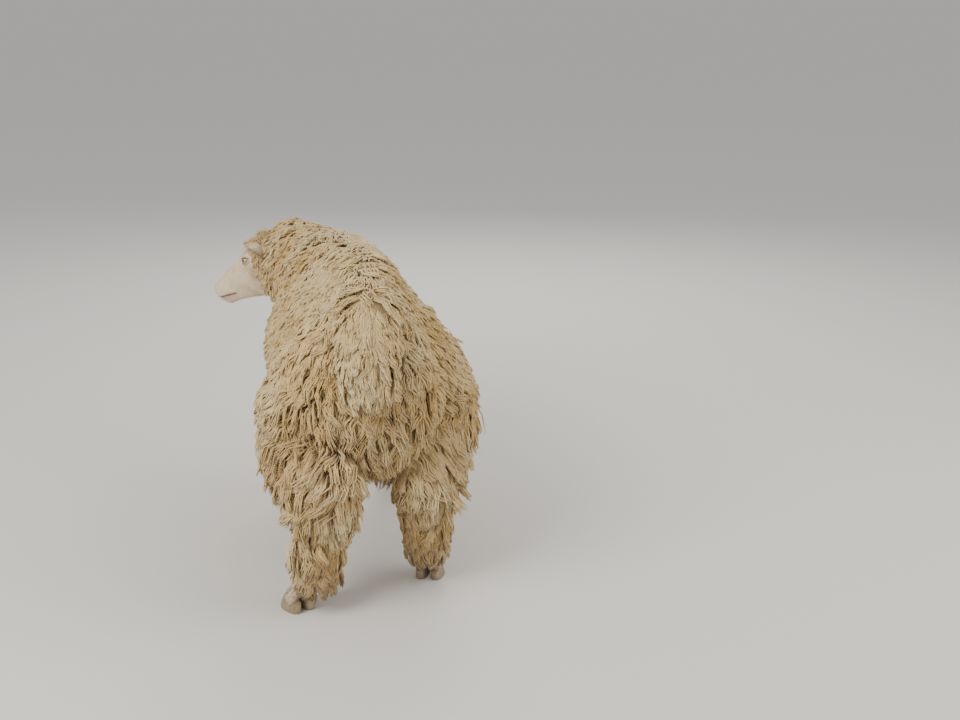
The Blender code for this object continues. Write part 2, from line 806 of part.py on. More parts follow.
def wool_over(collection, form, clumps, depth, skip=None):
    # Rows of clumps set close over a form, staggered, each a little different.
    start, end = clumps["span"]
    rows, hang, arc = clumps["rows"], clumps["hang"], clumps.get("arc", (0, 1))
    for i in range(rows):
        t = start + (end - start) * (i + 0.5) / rows
        swell = math.sin(math.pi * t)
        across = clumps.get("across") or clumps["ends"] + round(clumps["middle"] * swell ** 0.5)
        for j in range(across):
            turn = (j + 0.5 * (i % 2) + draw.uniform(-0.10, 0.10)) / across
            angle = math.tau * (arc[0] + (arc[1] - arc[0]) * turn) + math.pi / 2
            place = min(max(t + draw.uniform(-0.18, 0.18) * (end - start) / rows, 0.01), 0.99)
            skin = form.point(place, angle)
            out = form.normal(place, angle)
            deep = depth(skin)
            base = skin + out * deep * core_share
            if deep < 0.008 or (skip and skip(base)):
                continue
            reach = deep * (1 - core_share) * draw.uniform(0.92, 1.10)
            half = clumps["half"]
            width = (half if isinstance(half, float) else half[0] + half[1] * swell ** 0.7)
            width *= draw.uniform(0.92, 1.10)
            sunk = min(root_depth, width * 0.6)
            clump_object(collection, base - out * sunk, out, wool_lie(out, base),
                         (sunk + reach) / (1 - 0.45 * hang), width, width * 0.85, hang)


def inside_thigh(spot):
    return any(abs(spot.y - leg["stifle"][1] + 0.01) < 0.06 and 0.05 < spot.x * leg["sign"] < 0.16
               and spot.z < 0.38 for leg in hind_legs.values())


def under_shoulder(spot):
    return spot.z < 0.30 and abs(spot.y - 0.59) < 0.09


def near_ear(spot):
    root, out = ear_axes(-1)[:2]
    along = min(max((spot - root).dot(out), 0), ear_length)
    return (spot - root - out * along).length < ear_clearance


def add_core(collection, name, form, rings, sides, depth):
    bm = bmesh.new()
    form.mesh(bm, rings, sides, 0)
    bm.normal_update()
    for vert in bm.verts:
        vert.co += vert.normal * depth(vert.co) * core_share
    return new_object(name, bm, collection)


def build_body(collection):
    add_core(collection, "trunk", trunk, 17, 16, trunk_wool)
    add_core(collection, "neck", neck, 7, 12, trunk_wool)
    add_core(collection, "tail", tail, 5, 8, leg_wool)
    wool_over(collection, trunk, trunk_clumps, trunk_wool,
              lambda spot: inside_thigh(spot) or under_shoulder(spot))
    wool_over(collection, neck, neck_clumps, trunk_wool, near_ear)
    wool_over(collection, tail, tail_clumps, leg_wool)


def build_head(collection):
    swell_head(form_object("head", head, 29, 24, 0, collection))
    wool_over(collection, head, poll_clumps, poll_wool)
    for sign in (-1, 1):
        stub = ear_object("stub", sign, collection)
        trim(stub, ear_cut(sign, -gap), 1)
        lid_object("lid", sign, collection)


def build_udder(collection):
    for sign in (-1, 1):
        x = sign * udder_size[0] * 0.42
        bm = ball(Vector((0, 0, 0)), 1.0, 14, 10)
        bmesh.ops.transform(bm, verts=bm.verts[:], matrix=Matrix.Diagonal(
            (udder_size[0] * 0.62, udder_size[1], udder_size[2], 1)))
        bmesh.ops.translate(bm, verts=bm.verts[:], vec=udder_place + Vector((x, 0, 0)))
        new_object("udder", bm, collection)
        root = udder_place + Vector((sign * 0.040, 0.030, -udder_size[2] * 0.72))
        way = Vector((sign * 0.35, 0.40, -0.85)).normalized()
        clump_object(collection, root - way * 0.010, way, Vector((0, 0, -1)),
                     teat_length + 0.012, 0.0075, 0.0075, 0.0, 8)


def build_legs(collection):
    for legs, rows, upper in ((hind_legs, hind_rows, thigh_clumps), (front_legs, front_rows, arm_clumps)):
        for leg in legs.values():
            form = leg_form(rows(leg))
            add_core(collection, "leg", form, 15, 10, leg_wool)
            wool_over(collection, form, upper, leg_wool)
            wool_over(collection, form, shank_clumps, leg_wool)


def leg_cell(cut, s):
    # The block that holds one leg: below a slope that rises outward from the groin.
    groin = Vector((cut["middle"] + s * 0.012, 0, groin_height))
    return (
        (groin, (-s, 0, 0)),
        (groin, (-cut["rise"] * s, 0, 0.200)),
        (Vector((0, cut["front"], 0)), (0, 1, 0)),
        (Vector((0, cut["back"], 0)), (0, -1, 0)),
    )


def box_cell(cut):
    # The sides of a block about the middle plane, between two heights.
    return [(Vector((cut["half"], 0, 0)), (1, 0, 0)), (Vector((-cut["half"], 0, 0)), (-1, 0, 0)),
            (Vector((0, 0, cut["high"])), (0, 0, 1)), (Vector((0, 0, cut["low"])), (0, 0, -1))]


def main():
    clear_scene()
    wool = make_material("wool", wool_colour, 0.95)
    face = make_material("face", face_colour, 0.85)
    bare = make_material("skin", skin_colour, 0.60)
    horn = make_material("horn", horn_colour, 0.50)
    eye = make_material("eye", eye_colour, 0.12)

    pieces = new_collection("pieces")
    build_body(pieces)
    build_legs(pieces)
    body = join_all("torso", pieces)
    keep_largest(body, shortest_edge)
    details = new_collection("details")
    build_head(details)
    build_udder(details)
    join_all("torso", details, body)

    turn = head_matrix().to_3x3()
    nodes = {"torso": (body, wool)}
    for sign, side in ((-1, "left"), (1, "right")):
        leaf = ear_object("ear_" + side, sign, bpy.context.scene.collection)
        trim(leaf, ear_cut(sign, 0), -1)
        nodes["ear_" + side] = (leaf, face)

    neck_end = in_head(-0.002, 0, 0)
    head_way = (neck.frame(1)[0] + turn @ Vector((0, 1, -0.35))).normalized()
    head_planes = [(neck_end, -head_way), (Vector((0, head_back, 0)), (0, -1, 0)),
                   (Vector((0, 0, head_low)), (0, 0, -1))]
    nodes["head"] = (part_off("head", body, head_planes), face)
    neck_planes = [(neck.centre(neck_cut), -neck.frame(neck_cut)[0]),
                   (Vector((0, 0, neck_low)), (0, 0, -1))]
    nodes["neck"] = (part_off("neck", body, neck_planes), wool)
    for side in ("left", "right"):
        cut_with(nodes["neck"][0], block_round(nodes["ear_" + side][0], ear_room))
    keep_largest(nodes["neck"][0], 0.0022)
    tail_planes = [(Vector((0, tail_cut["front"], 0.50)), (0, 1, 0.15))] + box_cell(tail_cut)
    nodes["tail"] = (part_off("tail", body, tail_planes), wool)
    udder_planes = [(Vector((0, udder_cut["front"], 0)), (0, 1, 0)),
                    (Vector((0, udder_cut["back"], 0)), (0, -1, 0))] + box_cell(udder_cut)
    nodes["udder"] = (part_off("udder", body, udder_planes), bare)
    for place, legs in (("hind", hind_legs), ("front", front_legs)):
        for side, leg in legs.items():
            name = "leg_" + place + "_" + side
            nodes[name] = (part_off(name, body, leg_cell(leg_cuts[place], leg["sign"])), wool)
    keep_largest(body)

    skull = nodes["head"][0]
    keep_largest(skull, 0.0022)
    for sign, side in ((-1, "left"), (1, "right")):
        cut_with(skull, ball(eye_centre(sign), eye_radius + gap))
        cut_with(skull, nostril_cutter(sign))
        globe = new_object("eye_" + side, ball(eye_centre(sign), eye_radius))
        nodes["eye_" + side] = (globe, eye)
    cut_with(skull, mouth_cutter())
    keep_largest(skull)

    for place, legs in (("hind", hind_legs), ("front", front_legs)):
        for side, leg in legs.items():
            limb = nodes["leg_" + place + "_" + side][0]
            for way, word in ((1, "right"), (-1, "left")):
                outer = "outer" if way == leg["sign"] else "inner"
                name = "claw_" + place + "_" + side + "_" + outer
                claw = claw_object(name, leg, way, horn)
                nodes[name] = (claw, horn)
                bm = bmesh.new()
                bm.from_mesh(claw.data)
                for vert, push in [(v, v.normal.copy()) for v in bm.verts]:
                    vert.co += push * gap * 1.6
                cut_with(limb, bm)
            keep_largest(limb)

    low = Vector([min(v.co[i] for n, m in nodes.values() for v in n.data.vertices) for i in range(3)])
    high = Vector([max(v.co[i] for n, m in nodes.values() for v in n.data.vertices) for i in range(3)])
    shift = Matrix.Translation(Vector((-(low.x + high.x) / 2, -(low.y + high.y) / 2, 0)))
    for name, (node, material) in nodes.items():
        node.name = name
        node.data.transform(shift)
        node.data.materials.clear()
        node.data.materials.append(material)
        node.data.shade_smooth()


main()
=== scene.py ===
import math

import bmesh
import bpy
import numpy as np
from mathutils import Matrix, Vector
from mathutils.kdtree import KDTree


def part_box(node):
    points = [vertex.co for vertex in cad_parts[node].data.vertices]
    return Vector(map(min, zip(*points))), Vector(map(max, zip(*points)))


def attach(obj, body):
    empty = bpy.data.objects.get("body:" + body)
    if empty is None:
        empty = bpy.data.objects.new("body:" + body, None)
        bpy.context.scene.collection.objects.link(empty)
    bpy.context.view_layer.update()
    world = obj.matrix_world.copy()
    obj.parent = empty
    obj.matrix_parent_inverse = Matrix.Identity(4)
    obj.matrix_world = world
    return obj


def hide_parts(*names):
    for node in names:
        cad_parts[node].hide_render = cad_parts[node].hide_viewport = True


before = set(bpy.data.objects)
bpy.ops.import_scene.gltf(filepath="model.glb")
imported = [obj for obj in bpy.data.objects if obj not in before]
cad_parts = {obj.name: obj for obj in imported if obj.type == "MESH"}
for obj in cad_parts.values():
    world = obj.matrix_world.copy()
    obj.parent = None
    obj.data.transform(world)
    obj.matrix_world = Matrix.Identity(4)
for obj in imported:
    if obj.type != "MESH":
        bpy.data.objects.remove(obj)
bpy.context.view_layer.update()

# Measures are in metres in the ewe's own frame: +Y ahead, +Z up, her left side at -X.
body = {
    # forward place, top, underside, half width, fullness of the upper half
    "trunk": (
        (-0.054, 0.560, 0.455, 0.036, 1.8),
        (-0.030, 0.587, 0.368, 0.068, 1.4),
        (0.020, 0.602, 0.300, 0.095, 1.2),
        (0.090, 0.606, 0.275, 0.115, 1.1),
        (0.180, 0.600, 0.275, 0.128, 1.08),
        (0.290, 0.589, 0.268, 0.140, 1.08),
        (0.400, 0.575, 0.256, 0.144, 1.15),
        (0.505, 0.561, 0.262, 0.138, 1.25),
        (0.600, 0.547, 0.285, 0.120, 1.4),
        (0.665, 0.528, 0.316, 0.097, 1.6),
        (0.712, 0.497, 0.355, 0.065, 1.8),
        (0.735, 0.463, 0.390, 0.034, 2.0),
    ),
    # place of the axis, half width, half depth
    "neck": (
        (-0.052, 0.560, 0.436, 0.096, 0.108),
        (-0.072, 0.650, 0.450, 0.086, 0.104),
        (-0.102, 0.730, 0.462, 0.072, 0.090),
        (-0.141, 0.810, 0.475, 0.060, 0.077),
        (-0.176, 0.872, 0.478, 0.054, 0.068),
    ),
    "neckSide": (0.93, 0.36, 0),
    "bendStart": 0.05,
    "bendRate": 0.20,
    "middle": 0.42,
    "lowerFullness": 2.1,
    "tail": dict(length=0.120, high=0.575, root=0.050, back=0.058, size=0.022, taper=0.006),
    "fleeceDepth": 0.047,
    "britchDepth": 0.050,
    "legWoolDepth": 0.044,
    "coreShare": 0.42,
    "voxel": 0.006,
    "legVoxel": 0.0026,
}

legs = {
    "hind_left": dict(sign=-1, hind=True, foot=(-0.143, 0.000), toeOut=32, fetlock=(-0.105, -0.028),
                      knee=(-0.078, -0.042), top=(-0.104, 0.115)),
    "hind_right": dict(sign=1, hind=True, foot=(0.112, 0.122), toeOut=14, fetlock=(0.103, 0.090),
                       knee=(0.094, 0.050), top=(0.104, 0.175)),
    "front_left": dict(sign=-1, hind=False, foot=(-0.136, 0.575), toeOut=18, fetlock=(-0.126, 0.546),
                       knee=(-0.120, 0.550), top=(-0.118, 0.540)),
    "front_right": dict(sign=1, hind=False, foot=(0.052, 0.640), toeOut=0, fetlock=(0.050, 0.609),
                        knee=(0.046, 0.602), top=(0.040, 0.585)),
}
joints = dict(fetlock=0.072, hock=0.245, knee=0.185)

head = {
    # place along it, top, underside, half width, fullness of the upper half and of the jaw
    "rows": (
        (-0.030, 0.026, -0.040, 0.030, 2.0, 2.0),
        (-0.010, 0.046, -0.070, 0.046, 2.1, 1.8),
        (0.020, 0.057, -0.088, 0.054, 2.2, 1.6),
        (0.050, 0.060, -0.090, 0.057, 2.3, 1.5),
        (0.078, 0.057, -0.080, 0.057, 2.4, 1.5),
        (0.105, 0.051, -0.069, 0.048, 2.3, 1.5),
        (0.135, 0.043, -0.060, 0.039, 2.2, 1.6),
        (0.165, 0.034, -0.053, 0.034, 2.2, 1.7),
        (0.190, 0.026, -0.049, 0.033, 2.3, 1.9),
        (0.212, 0.016, -0.045, 0.032, 2.3, 2.1),
        (0.227, 0.004, -0.038, 0.026, 2.2, 2.1),
        (0.234, -0.006, -0.030, 0.016, 2.0, 2.0),
    ),
    # swellings and hollows of both sides: place (along, side, up), reach, push
    "swells": (
        ((0.078, 0.052, 0.030), 0.017, (0, 0.0070, 0.0030)),
        ((0.104, 0.050, 0.010), 0.016, (0, -0.0040, 0)),
        ((0.045, 0.050, 0.040), 0.018, (0, -0.0040, 0)),
        ((0.040, 0.046, -0.040), 0.030, (0, 0.0080, 0)),
        ((0.072, 0.040, -0.060), 0.022, (0, -0.0040, 0.0030)),
        ((0.128, 0.038, -0.008), 0.020, (0, 0.0040, 0)),
        ((0.176, 0.034, -0.002), 0.018, (0, -0.0035, 0)),
        ((0.190, 0.026, -0.040), 0.016, (0, -0.0030, 0.0030)),
        ((0.221, 0.020, 0.002), 0.011, (0.0020, 0.0040, 0.0010)),
        ((0.210, 0.033, -0.020), 0.014, (0, 0.0030, -0.0010)),
        ((0.212, 0.012, -0.044), 0.013, (0.0030, 0.0010, -0.0040)),
        ((0.236, 0.000, -0.012), 0.006, (-0.0030, 0, 0)),
    ),
    "middle": 0.56,
    "place": (-0.186, 0.896, 0.488),
    "turn": 58.0,
    "nod": 27.0,
    "voxel": 0.0019,
}
eye = dict(place=(0.048, 0.080, 0.022), radius=0.0135, out=(0.93, 0.30, 0.16), along=(0, 1, -0.18),
           halfLength=0.0118, halfOpening=0.0074, lid=0.0022, reach=0.034, hollow=0.0035, crease=0.0016,
           pouch=0.0010, bulge=0.10)
ear = dict(root=(0.046, 0.014, 0.028), out=(0.93, -0.30, -0.10), front=(0.22, 0.80, -0.30),
           length=0.115, width=0.058, thickness=0.0035, sunk=0.10, fall=0.016, rolled=150, opened=85)
mouth = dict(corner=0.166, front=0.234, height=-0.024, fall=0.010, depth=0.0040, width=0.0013,
             upperLip=0.0016, lowerLip=0.0012, lipWidth=0.0034, split=0.0020, splitWidth=0.0009)
nostril = dict(inner=(0.0085, -0.010), outer=(0.0200, 0.0075), width=0.0032, depth=0.010, bow=0.0022,
               wing=0.0011)

headMatrix = (Matrix.Translation(Vector(head["place"]))
              @ Matrix.Rotation(math.radians(head["turn"]), 4, "Z")
              @ Matrix.Rotation(-math.radians(head["nod"]), 4, "X"))
headArray = np.array(headMatrix)


def fromHead(spots):  # rows of (side, along, up) on the head, to the ewe's frame
    return spots @ headArray[:3, :3].T + headArray[:3, 3]


def toHead(spots):
    return (spots - headArray[:3, 3]) @ headArray[:3, :3]


def mirrored(row, sign):  # on her right for 1, on her left for -1
    return np.array([sign * row[0], *row[1:]])


eyeLow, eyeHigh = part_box("eye_left")
shift = np.array((eyeLow + eyeHigh) / 2) - fromHead(mirrored(eye["place"], -1)[None])[0]  # to the row frame


# Forms: rings on a path, the same as the solids'.

def unit(rows):
    return rows / np.maximum(np.linalg.norm(rows, axis=-1, keepdims=True), 1e-9)


def smooth(value, low, high):
    f = np.clip((value - low) / (high - low), 0, 1)
    return f * f * (3 - 2 * f)


def readRows(rows, t):
    rows = np.array(rows, float)
    place = np.clip(t, 0, 1) * (len(rows) - 1)
    first = np.minimum(place.astype(int), len(rows) - 2)
    f = (place - first)[:, None]
    before, start = rows[np.maximum(first - 1, 0)], rows[first]
    end, after = rows[first + 1], rows[np.minimum(first + 2, len(rows) - 1)]
    slope1, slope2 = (end - before) / 2, (after - start) / 2
    return (start + f * slope1 + f * f * (3 * (end - start) - 2 * slope1 - slope2)
            + f ** 3 * (2 * (start - end) + slope1 + slope2))


def midline(y):
    return -body["bendRate"] * np.maximum(y - body["bendStart"], 0) ** 2


def readTrunk(t):
    y, top, under, half, full = readRows(body["trunk"], t).T
    middle = under + (top - under) * body["middle"]
    place = np.stack([midline(y), y, middle], 1)
    return place, half, top - middle, middle - under, full, full * 0 + body["lowerFullness"]


def roundReader(rows):  # for round forms, from rows of the axis's place, half width and half depth
    def read(t):
        row = readRows(rows, t)
        half, depth = row[:, 3], row[:, 4]
        return row[:, :3], half, depth, depth, half * 0 + 2, half * 0 + 2

    return read


def readTail(t):
    form = body["tail"]
    back = form["root"] + form["back"] * np.sin(math.pi * np.minimum(t * 1.5, 1) / 2)
    size = form["size"] - form["taper"] * t
    place = np.stack([t * 0, -back, form["high"] - form["length"] * t], 1)
    return place, size, size, size * 0.8, t * 0 + 2, t * 0 + 2


def readHead(t):
    along, top, under, half, full, jaw = readRows(head["rows"], t).T
    middle = under + (top - under) * head["middle"]
    return fromHead(np.stack([along * 0, along, middle], 1)), half, top - middle, middle - under, full, jaw


def legRows(leg):  # from the body down: place of the axis, half width, half depth
    s = leg["sign"]
    tx, ty = leg["top"]
    kx, ky = leg["knee"]
    fx, fy = leg["fetlock"]
    px, py = leg["foot"]
    if leg["hind"]:
        upper = (
            (s * 0.044, ty, 0.490, 0.036, 0.080),
            (s * 0.072, ty - 0.022, 0.430, 0.054, 0.122),
            (tx, ty - 0.018, 0.362, 0.062, 0.118),
            (tx, ty * 0.55 + ky * 0.45, 0.302, 0.052, 0.080),
            (kx, ky + 0.006, joints["hock"], 0.030, 0.040),
            (kx, ky + 0.010, 0.205, 0.020, 0.028),
            ((kx + fx) / 2, (ky + fy) / 2, 0.140, 0.017, 0.020),
            (fx, fy, joints["fetlock"], 0.021, 0.024),
        )
    else:
        upper = (
            (tx - s * 0.026, ty + 0.010, 0.440, 0.045, 0.078),
            (tx - s * 0.0078, ty + 0.006, 0.360, 0.046, 0.066),
            (tx, ty + 0.004, 0.300, 0.036, 0.048),
            ((tx + kx) / 2, (ty + ky) / 2 + 0.004, 0.240, 0.027, 0.033),
            (kx, ky + 0.003, joints["knee"], 0.024, 0.027),
            (kx, ky, 0.150, 0.018, 0.020),
            ((kx + fx) / 2, (ky + fy) / 2, 0.112, 0.016, 0.018),
            (fx, fy, joints["fetlock"], 0.020, 0.023),
        )
    foot = (((fx + px) / 2, (fy + py) / 2 - 0.002, 0.048, 0.0165, 0.018),
            (px * 0.85 + fx * 0.15, py - 0.008, 0.030, 0.018, 0.021))
    return upper + foot


def ringFaces(rings, sides):  # the rings of a closed form, then its ends, each round a middle place
    faces = []
    for i in range(rings - 1):
        for j in range(sides):
            k = (j + 1) % sides
            faces.append((i * sides + j, i * sides + k, (i + 1) * sides + k, (i + 1) * sides + j))
    last = (rings - 1) * sides
    for j in range(sides):
        k = (j + 1) % sides
        faces.append((k, j, rings * sides))
        faces.append((last + j, last + k, rings * sides + 1))
    return faces


class Form:
    def __init__(self, read, side=(1, 0, 0), upright=False):
        self.read, self.side, self.upright = read, np.array(side, float), upright

    def frame(self, t):
        along = self.read(np.minimum(t + 0.01, 1))[0] - self.read(np.maximum(t - 0.01, 0))[0]
        if self.upright:
            along[:, 2] = 0
        along = unit(along)
        side = unit(self.side - along * (along @ self.side)[:, None])
        return along, side, np.cross(side, along)

    def bare(self, t, angle):
        place, half, rise, drop, fullUp, fullDown = self.read(t)
        side, up = self.frame(t)[1:]
        c, s = np.cos(angle), np.sin(angle)
        full = np.where(s > 0, fullUp, fullDown)
        across = np.sign(c) * np.abs(c) ** (2 / full) * half
        height = np.sign(s) * np.abs(s) ** (2 / full) * np.where(s > 0, rise, drop)
        return place + side * across[:, None] + up * height[:, None]

    def grid(self, rings, sides, low=0.0, high=1.0, ends=0.4):  # closed mesh: spots and faces
        t = np.repeat(np.linspace(low, high, rings), sides)
        angle = np.tile(np.arange(sides) * math.tau / sides, rings)
        spots = self.bare(t, angle)
        tips = []
        for at, way in ((low, -1), (high, 1)):
            at = np.array([at])
            size = self.read(at)[1][0]
            tips.append(self.read(at)[0][0] + self.frame(at)[0][0] * way * size * ends)
        return np.vstack([spots, tips]), ringFaces(rings, sides)

    def unwrap(self, spots):  # along the form and round it, both 0 to 1
        t = np.linspace(0, 1, 120)
        path = self.read(t)[0]
        nearest = np.zeros(len(spots), int)
        for start in range(0, len(spots), 4000):
            part = spots[start:start + 4000]
            nearest[start:start + 4000] = ((part[:, None] - path[None]) ** 2).sum(2).argmin(1)
        side, up = self.frame(t[nearest])[1:]
        off = spots - path[nearest]
        return t[nearest], np.arctan2((off * up).sum(1), (off * side).sum(1)) / math.tau % 1


trunk = Form(readTrunk, upright=True)
neck = Form(roundReader(body["neck"]), body["neckSide"])
tail = Form(readTail)
skull = Form(readHead, headArray[:3, 0])
limbs = {name: Form(roundReader(legRows(leg))) for name, leg in legs.items()}


def legWool(z):  # deep on the thigh and the upper arm, shallow on the shank, none by the foot
    upper = np.clip((z - 0.17) / 0.06, 0, 1)
    lower = np.clip((z - 0.055) / 0.020, 0, 1)
    return (body["legWoolDepth"] + (body["britchDepth"] - body["legWoolDepth"]) * upper) * lower


# Mesh tools.

def newMesh(name, spots, faces, moved=True):
    mesh = bpy.data.meshes.new(name)
    mesh.from_pydata((spots + shift if moved else spots).tolist(), [], faces)
    mesh.update()
    thing = bpy.data.objects.new(name, mesh)
    bpy.context.scene.collection.objects.link(thing)
    return thing


def meshNormals(thing):
    normals = np.zeros(len(thing.data.vertices) * 3, np.float32)
    thing.data.vertex_normals.foreach_get("vector", normals)
    return normals.reshape(-1, 3).astype(float)


def meshSpots(thing):
    spots = np.zeros(len(thing.data.vertices) * 3, np.float32)
    thing.data.vertices.foreach_get("co", spots)
    return spots.reshape(-1, 3).astype(float)


def setSpots(thing, spots):
    thing.data.vertices.foreach_set("co", spots.astype(np.float32).ravel())
    thing.data.update()


def addMarks(mesh, name, values):  # three numbers at every place of a mesh, for the materials
    marks = mesh.attributes.new(name, "FLOAT_VECTOR", "POINT")
    marks.data.foreach_set("vector", values.astype(np.float32).ravel())


def nearestOf(spots, wanted):  # for each wanted place, which of the spots is nearest
    tree = KDTree(len(spots))
    for i, spot in enumerate(spots):
        tree.insert(spot, i)
    tree.balance()
    return np.array([tree.find(spot)[1] for spot in wanted])


def joined(parts):  # several (spots, faces) as one
    spots, faces, start = [], [], 0
    for more, around in parts:
        spots.append(more)
        faces += [tuple(i + start for i in face) for face in around]
        start += len(more)
    return np.vstack(spots), faces


def remeshed(name, parts, voxel, rounds):  # one closed skin round overlapping closed meshes
    thing = newMesh(name, *joined(parts))
    wrap = thing.modifiers.new("wrap", "REMESH")
    wrap.mode = "VOXEL"
    wrap.voxel_size = voxel
    even = thing.modifiers.new("even", "SMOOTH")
    even.factor = 0.5
    even.iterations = rounds
    graph = bpy.context.evaluated_depsgraph_get()
    mesh = bpy.data.meshes.new_from_object(thing.evaluated_get(graph))
    thing.modifiers.clear()
    thing.data = mesh
    thing.data.name = name
    return thing


def swollen(part, depth):  # moves the spots of a closed part out along its normals
    thing = newMesh("swollen", part[0], part[1], moved=False)
    normals = meshNormals(thing)
    if (normals * (part[0] - part[0].mean(0))).sum() < 0:
        normals = -normals
    spots = part[0] + normals * depth(part[0])[:, None]
    bpy.data.objects.remove(thing, do_unlink=True)
    return spots, part[1]


def finished(thing, material, slot, *replaced):  # smooth, painted, riding the ewe, in place of some nodes
    for polygon in thing.data.polygons:
        polygon.use_smooth = True
    thing.data.materials.append(material)
    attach(thing, "root")
    if replaced:
        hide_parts(*replaced)
    return thing


# Materials.

def newMaterial(name, rough, sheen=0.0, gloss=0.5, more=()):
    material = bpy.data.materials.new(name)
    material.use_nodes = True
    shader = material.node_tree.nodes["Principled BSDF"]
    looks = {"Roughness": rough, "Sheen Weight": sheen, "Specular IOR Level": gloss, **dict(more)}
    for key, value in looks.items():
        shader.inputs[key].default_value = value
    return material, material.node_tree


def addNode(tree, kind, inputs=(), **settings):
    node = tree.nodes.new(kind)
    for key, value in settings.items():
        setattr(node, key, value)
    for key, value in dict(inputs).items():
        if isinstance(value, bpy.types.NodeSocket):
            tree.links.new(value, node.inputs[key])
        else:
            node.inputs[key].default_value = value
    return node


def place(tree):
    return addNode(tree, "ShaderNodeTexCoord").outputs["Object"]


def vectors(tree, how, first, second):
    return addNode(tree, "ShaderNodeVectorMath", {0: first, 1: second}, operation=how).outputs


def noise(tree, scale, detail=3.0, rough=0.55, at=None):
    inputs = {"Vector": at or place(tree), "Scale": scale, "Detail": detail, "Roughness": rough}
    return addNode(tree, "ShaderNodeTexNoise", inputs).outputs["Fac"]


def span(tree, value, low, high, toLow=0.0, toHigh=1.0):
    inputs = {"Value": value, "From Min": low, "From Max": high, "To Min": toLow, "To Max": toHigh}
    return addNode(tree, "ShaderNodeMapRange", inputs).outputs["Result"]


def patches(tree, grain, *spread, at=None):  # noise of that scale and detail, spread over a range
    return span(tree, noise(tree, *grain, at=at), *spread)


def mixed(tree, share, first, second, how="MIX"):
    inputs = {0: share}
    for key, colour in ((6, first), (7, second)):
        inputs[key] = colour if isinstance(colour, bpy.types.NodeSocket) else (*colour, 1)
    return addNode(tree, "ShaderNodeMix", inputs, data_type="RGBA", blend_type=how).outputs[2]


def sums(tree, how, first, second, third=0.0):
    return addNode(tree, "ShaderNodeMath", {0: first, 1: second, 2: third}, operation=how).outputs[0]


def apart(tree, vector):
    return addNode(tree, "ShaderNodeSeparateXYZ", {"Vector": vector}).outputs


def marked(tree, name):  # the three numbers of the marks on a mesh
    return apart(tree, addNode(tree, "ShaderNodeAttribute", attribute_name=name).outputs["Vector"])


def toned(tree, share, colour, low, high=(1.0, 1.0, 1.0)):  # darkens a colour where the share is small
    return mixed(tree, 1.0, colour, mixed(tree, share, low, high), "MULTIPLY")


def painted(material, colour, *relief):  # relief is a height, its strength and its distance
    tree = material.node_tree
    shader = tree.nodes["Principled BSDF"]
    tree.links.new(colour, shader.inputs["Base Color"])
    if relief:
        bump = addNode(tree, "ShaderNodeBump", dict(zip(("Height", "Strength", "Distance"), relief)))
        tree.links.new(bump.outputs["Normal"], shader.inputs["Normal"])
    return material


# Colours of the wool, which the skin under it shares; root is a darker painted shade for the depths of the
# fleece, down among the locks.
fleeceColours = dict(cream=(0.85, 0.64, 0.32), pale=(0.91, 0.76, 0.46), yellow=(0.76, 0.51, 0.18),
                     tan=(0.54, 0.32, 0.12), root=(0.66, 0.49, 0.25), dirt=(0.34, 0.24, 0.13))


def fleeceTone(tree, depth):
    # the same markings for the skin and the locks; depth is 0 at a root and 1 at a tip, and where it is
    # small the colour turns to the root colour, a painted shade deep in the fleece
    at = place(tree)
    c = fleeceColours
    high = apart(tree, at)["Z"]

    def times(first, second):
        return sums(tree, "MULTIPLY", first, second)

    base = mixed(tree, patches(tree, (9, 3), 0.35, 0.65), c["cream"], c["pale"])
    elsewhere = vectors(tree, "ADD", at, (3.1, 1.7, 4.2))[0]
    base = mixed(tree, patches(tree, (5.5, 2), 0.48, 0.72, 0, 0.8, at=elsewhere), base, c["yellow"])
    stain = times(patches(tree, (14, 4), 0.45, 0.68), span(tree, high, 0.42, 0.12))
    base = mixed(tree, times(stain, 0.85), base, c["tan"])
    base = mixed(tree, times(patches(tree, (46, 3), 0.58, 0.76), 0.5), base, c["dirt"])
    base = mixed(tree, times(span(tree, high, 0.13, 0.04), 0.6), base, c["dirt"])
    # painted shade: the darker root colour where depth is small, down among the locks
    return mixed(tree, depth, c["root"], base)


def woolMaterial():
    material, tree = newMaterial("wool", 0.95, 0.35, 0.1)
    marks = marked(tree, "lock")
    along, tone, across = marks["X"], marks["Y"], marks["Z"]
    # painted shade: each lock darkens to the root colour along the first half of its length, towards the
    # skin
    colour = fleeceTone(tree, span(tree, along, 0.05, 0.55))
    strand = addNode(tree, "ShaderNodeCombineXYZ", {0: sums(tree, "MULTIPLY", across, 9.0),
                                                    1: sums(tree, "MULTIPLY", along, 2.5),
                                                    2: sums(tree, "MULTIPLY", tone, 40.0)}).outputs[0]
    fibres = noise(tree, 1.6, 3, 0.6, at=strand)
    colour = toned(tree, tone, colour, (0.82, 0.78, 0.70))
    colour = toned(tree, span(tree, fibres, 0.3, 0.7), colour, (0.80, 0.76, 0.68))
    return painted(material, colour, fibres, 0.8, 0.0010)


def underwoolMaterial():
    material, tree = newMaterial("underwool", 0.95, 0.1, 0.1)
    # painted shade: the skin under the locks mostly takes the darker root colour, as shade deep in the
    # fleece
    colour = fleeceTone(tree, patches(tree, (60, 3), 0.2, 0.9, 0.0, 0.55))
    return painted(material, colour, noise(tree, 220, 4, 0.65), 0.9, 0.004)


# rim darkens the lid rims, and is also the painted shade in the nostril pits and along the mouth's crease
faceColours = dict(hair=(0.76, 0.64, 0.47), shade=(0.60, 0.46, 0.30), pink=(0.60, 0.38, 0.31),
                   nose=(0.34, 0.22, 0.18), rim=(0.10, 0.06, 0.045), soil=(0.36, 0.27, 0.18))


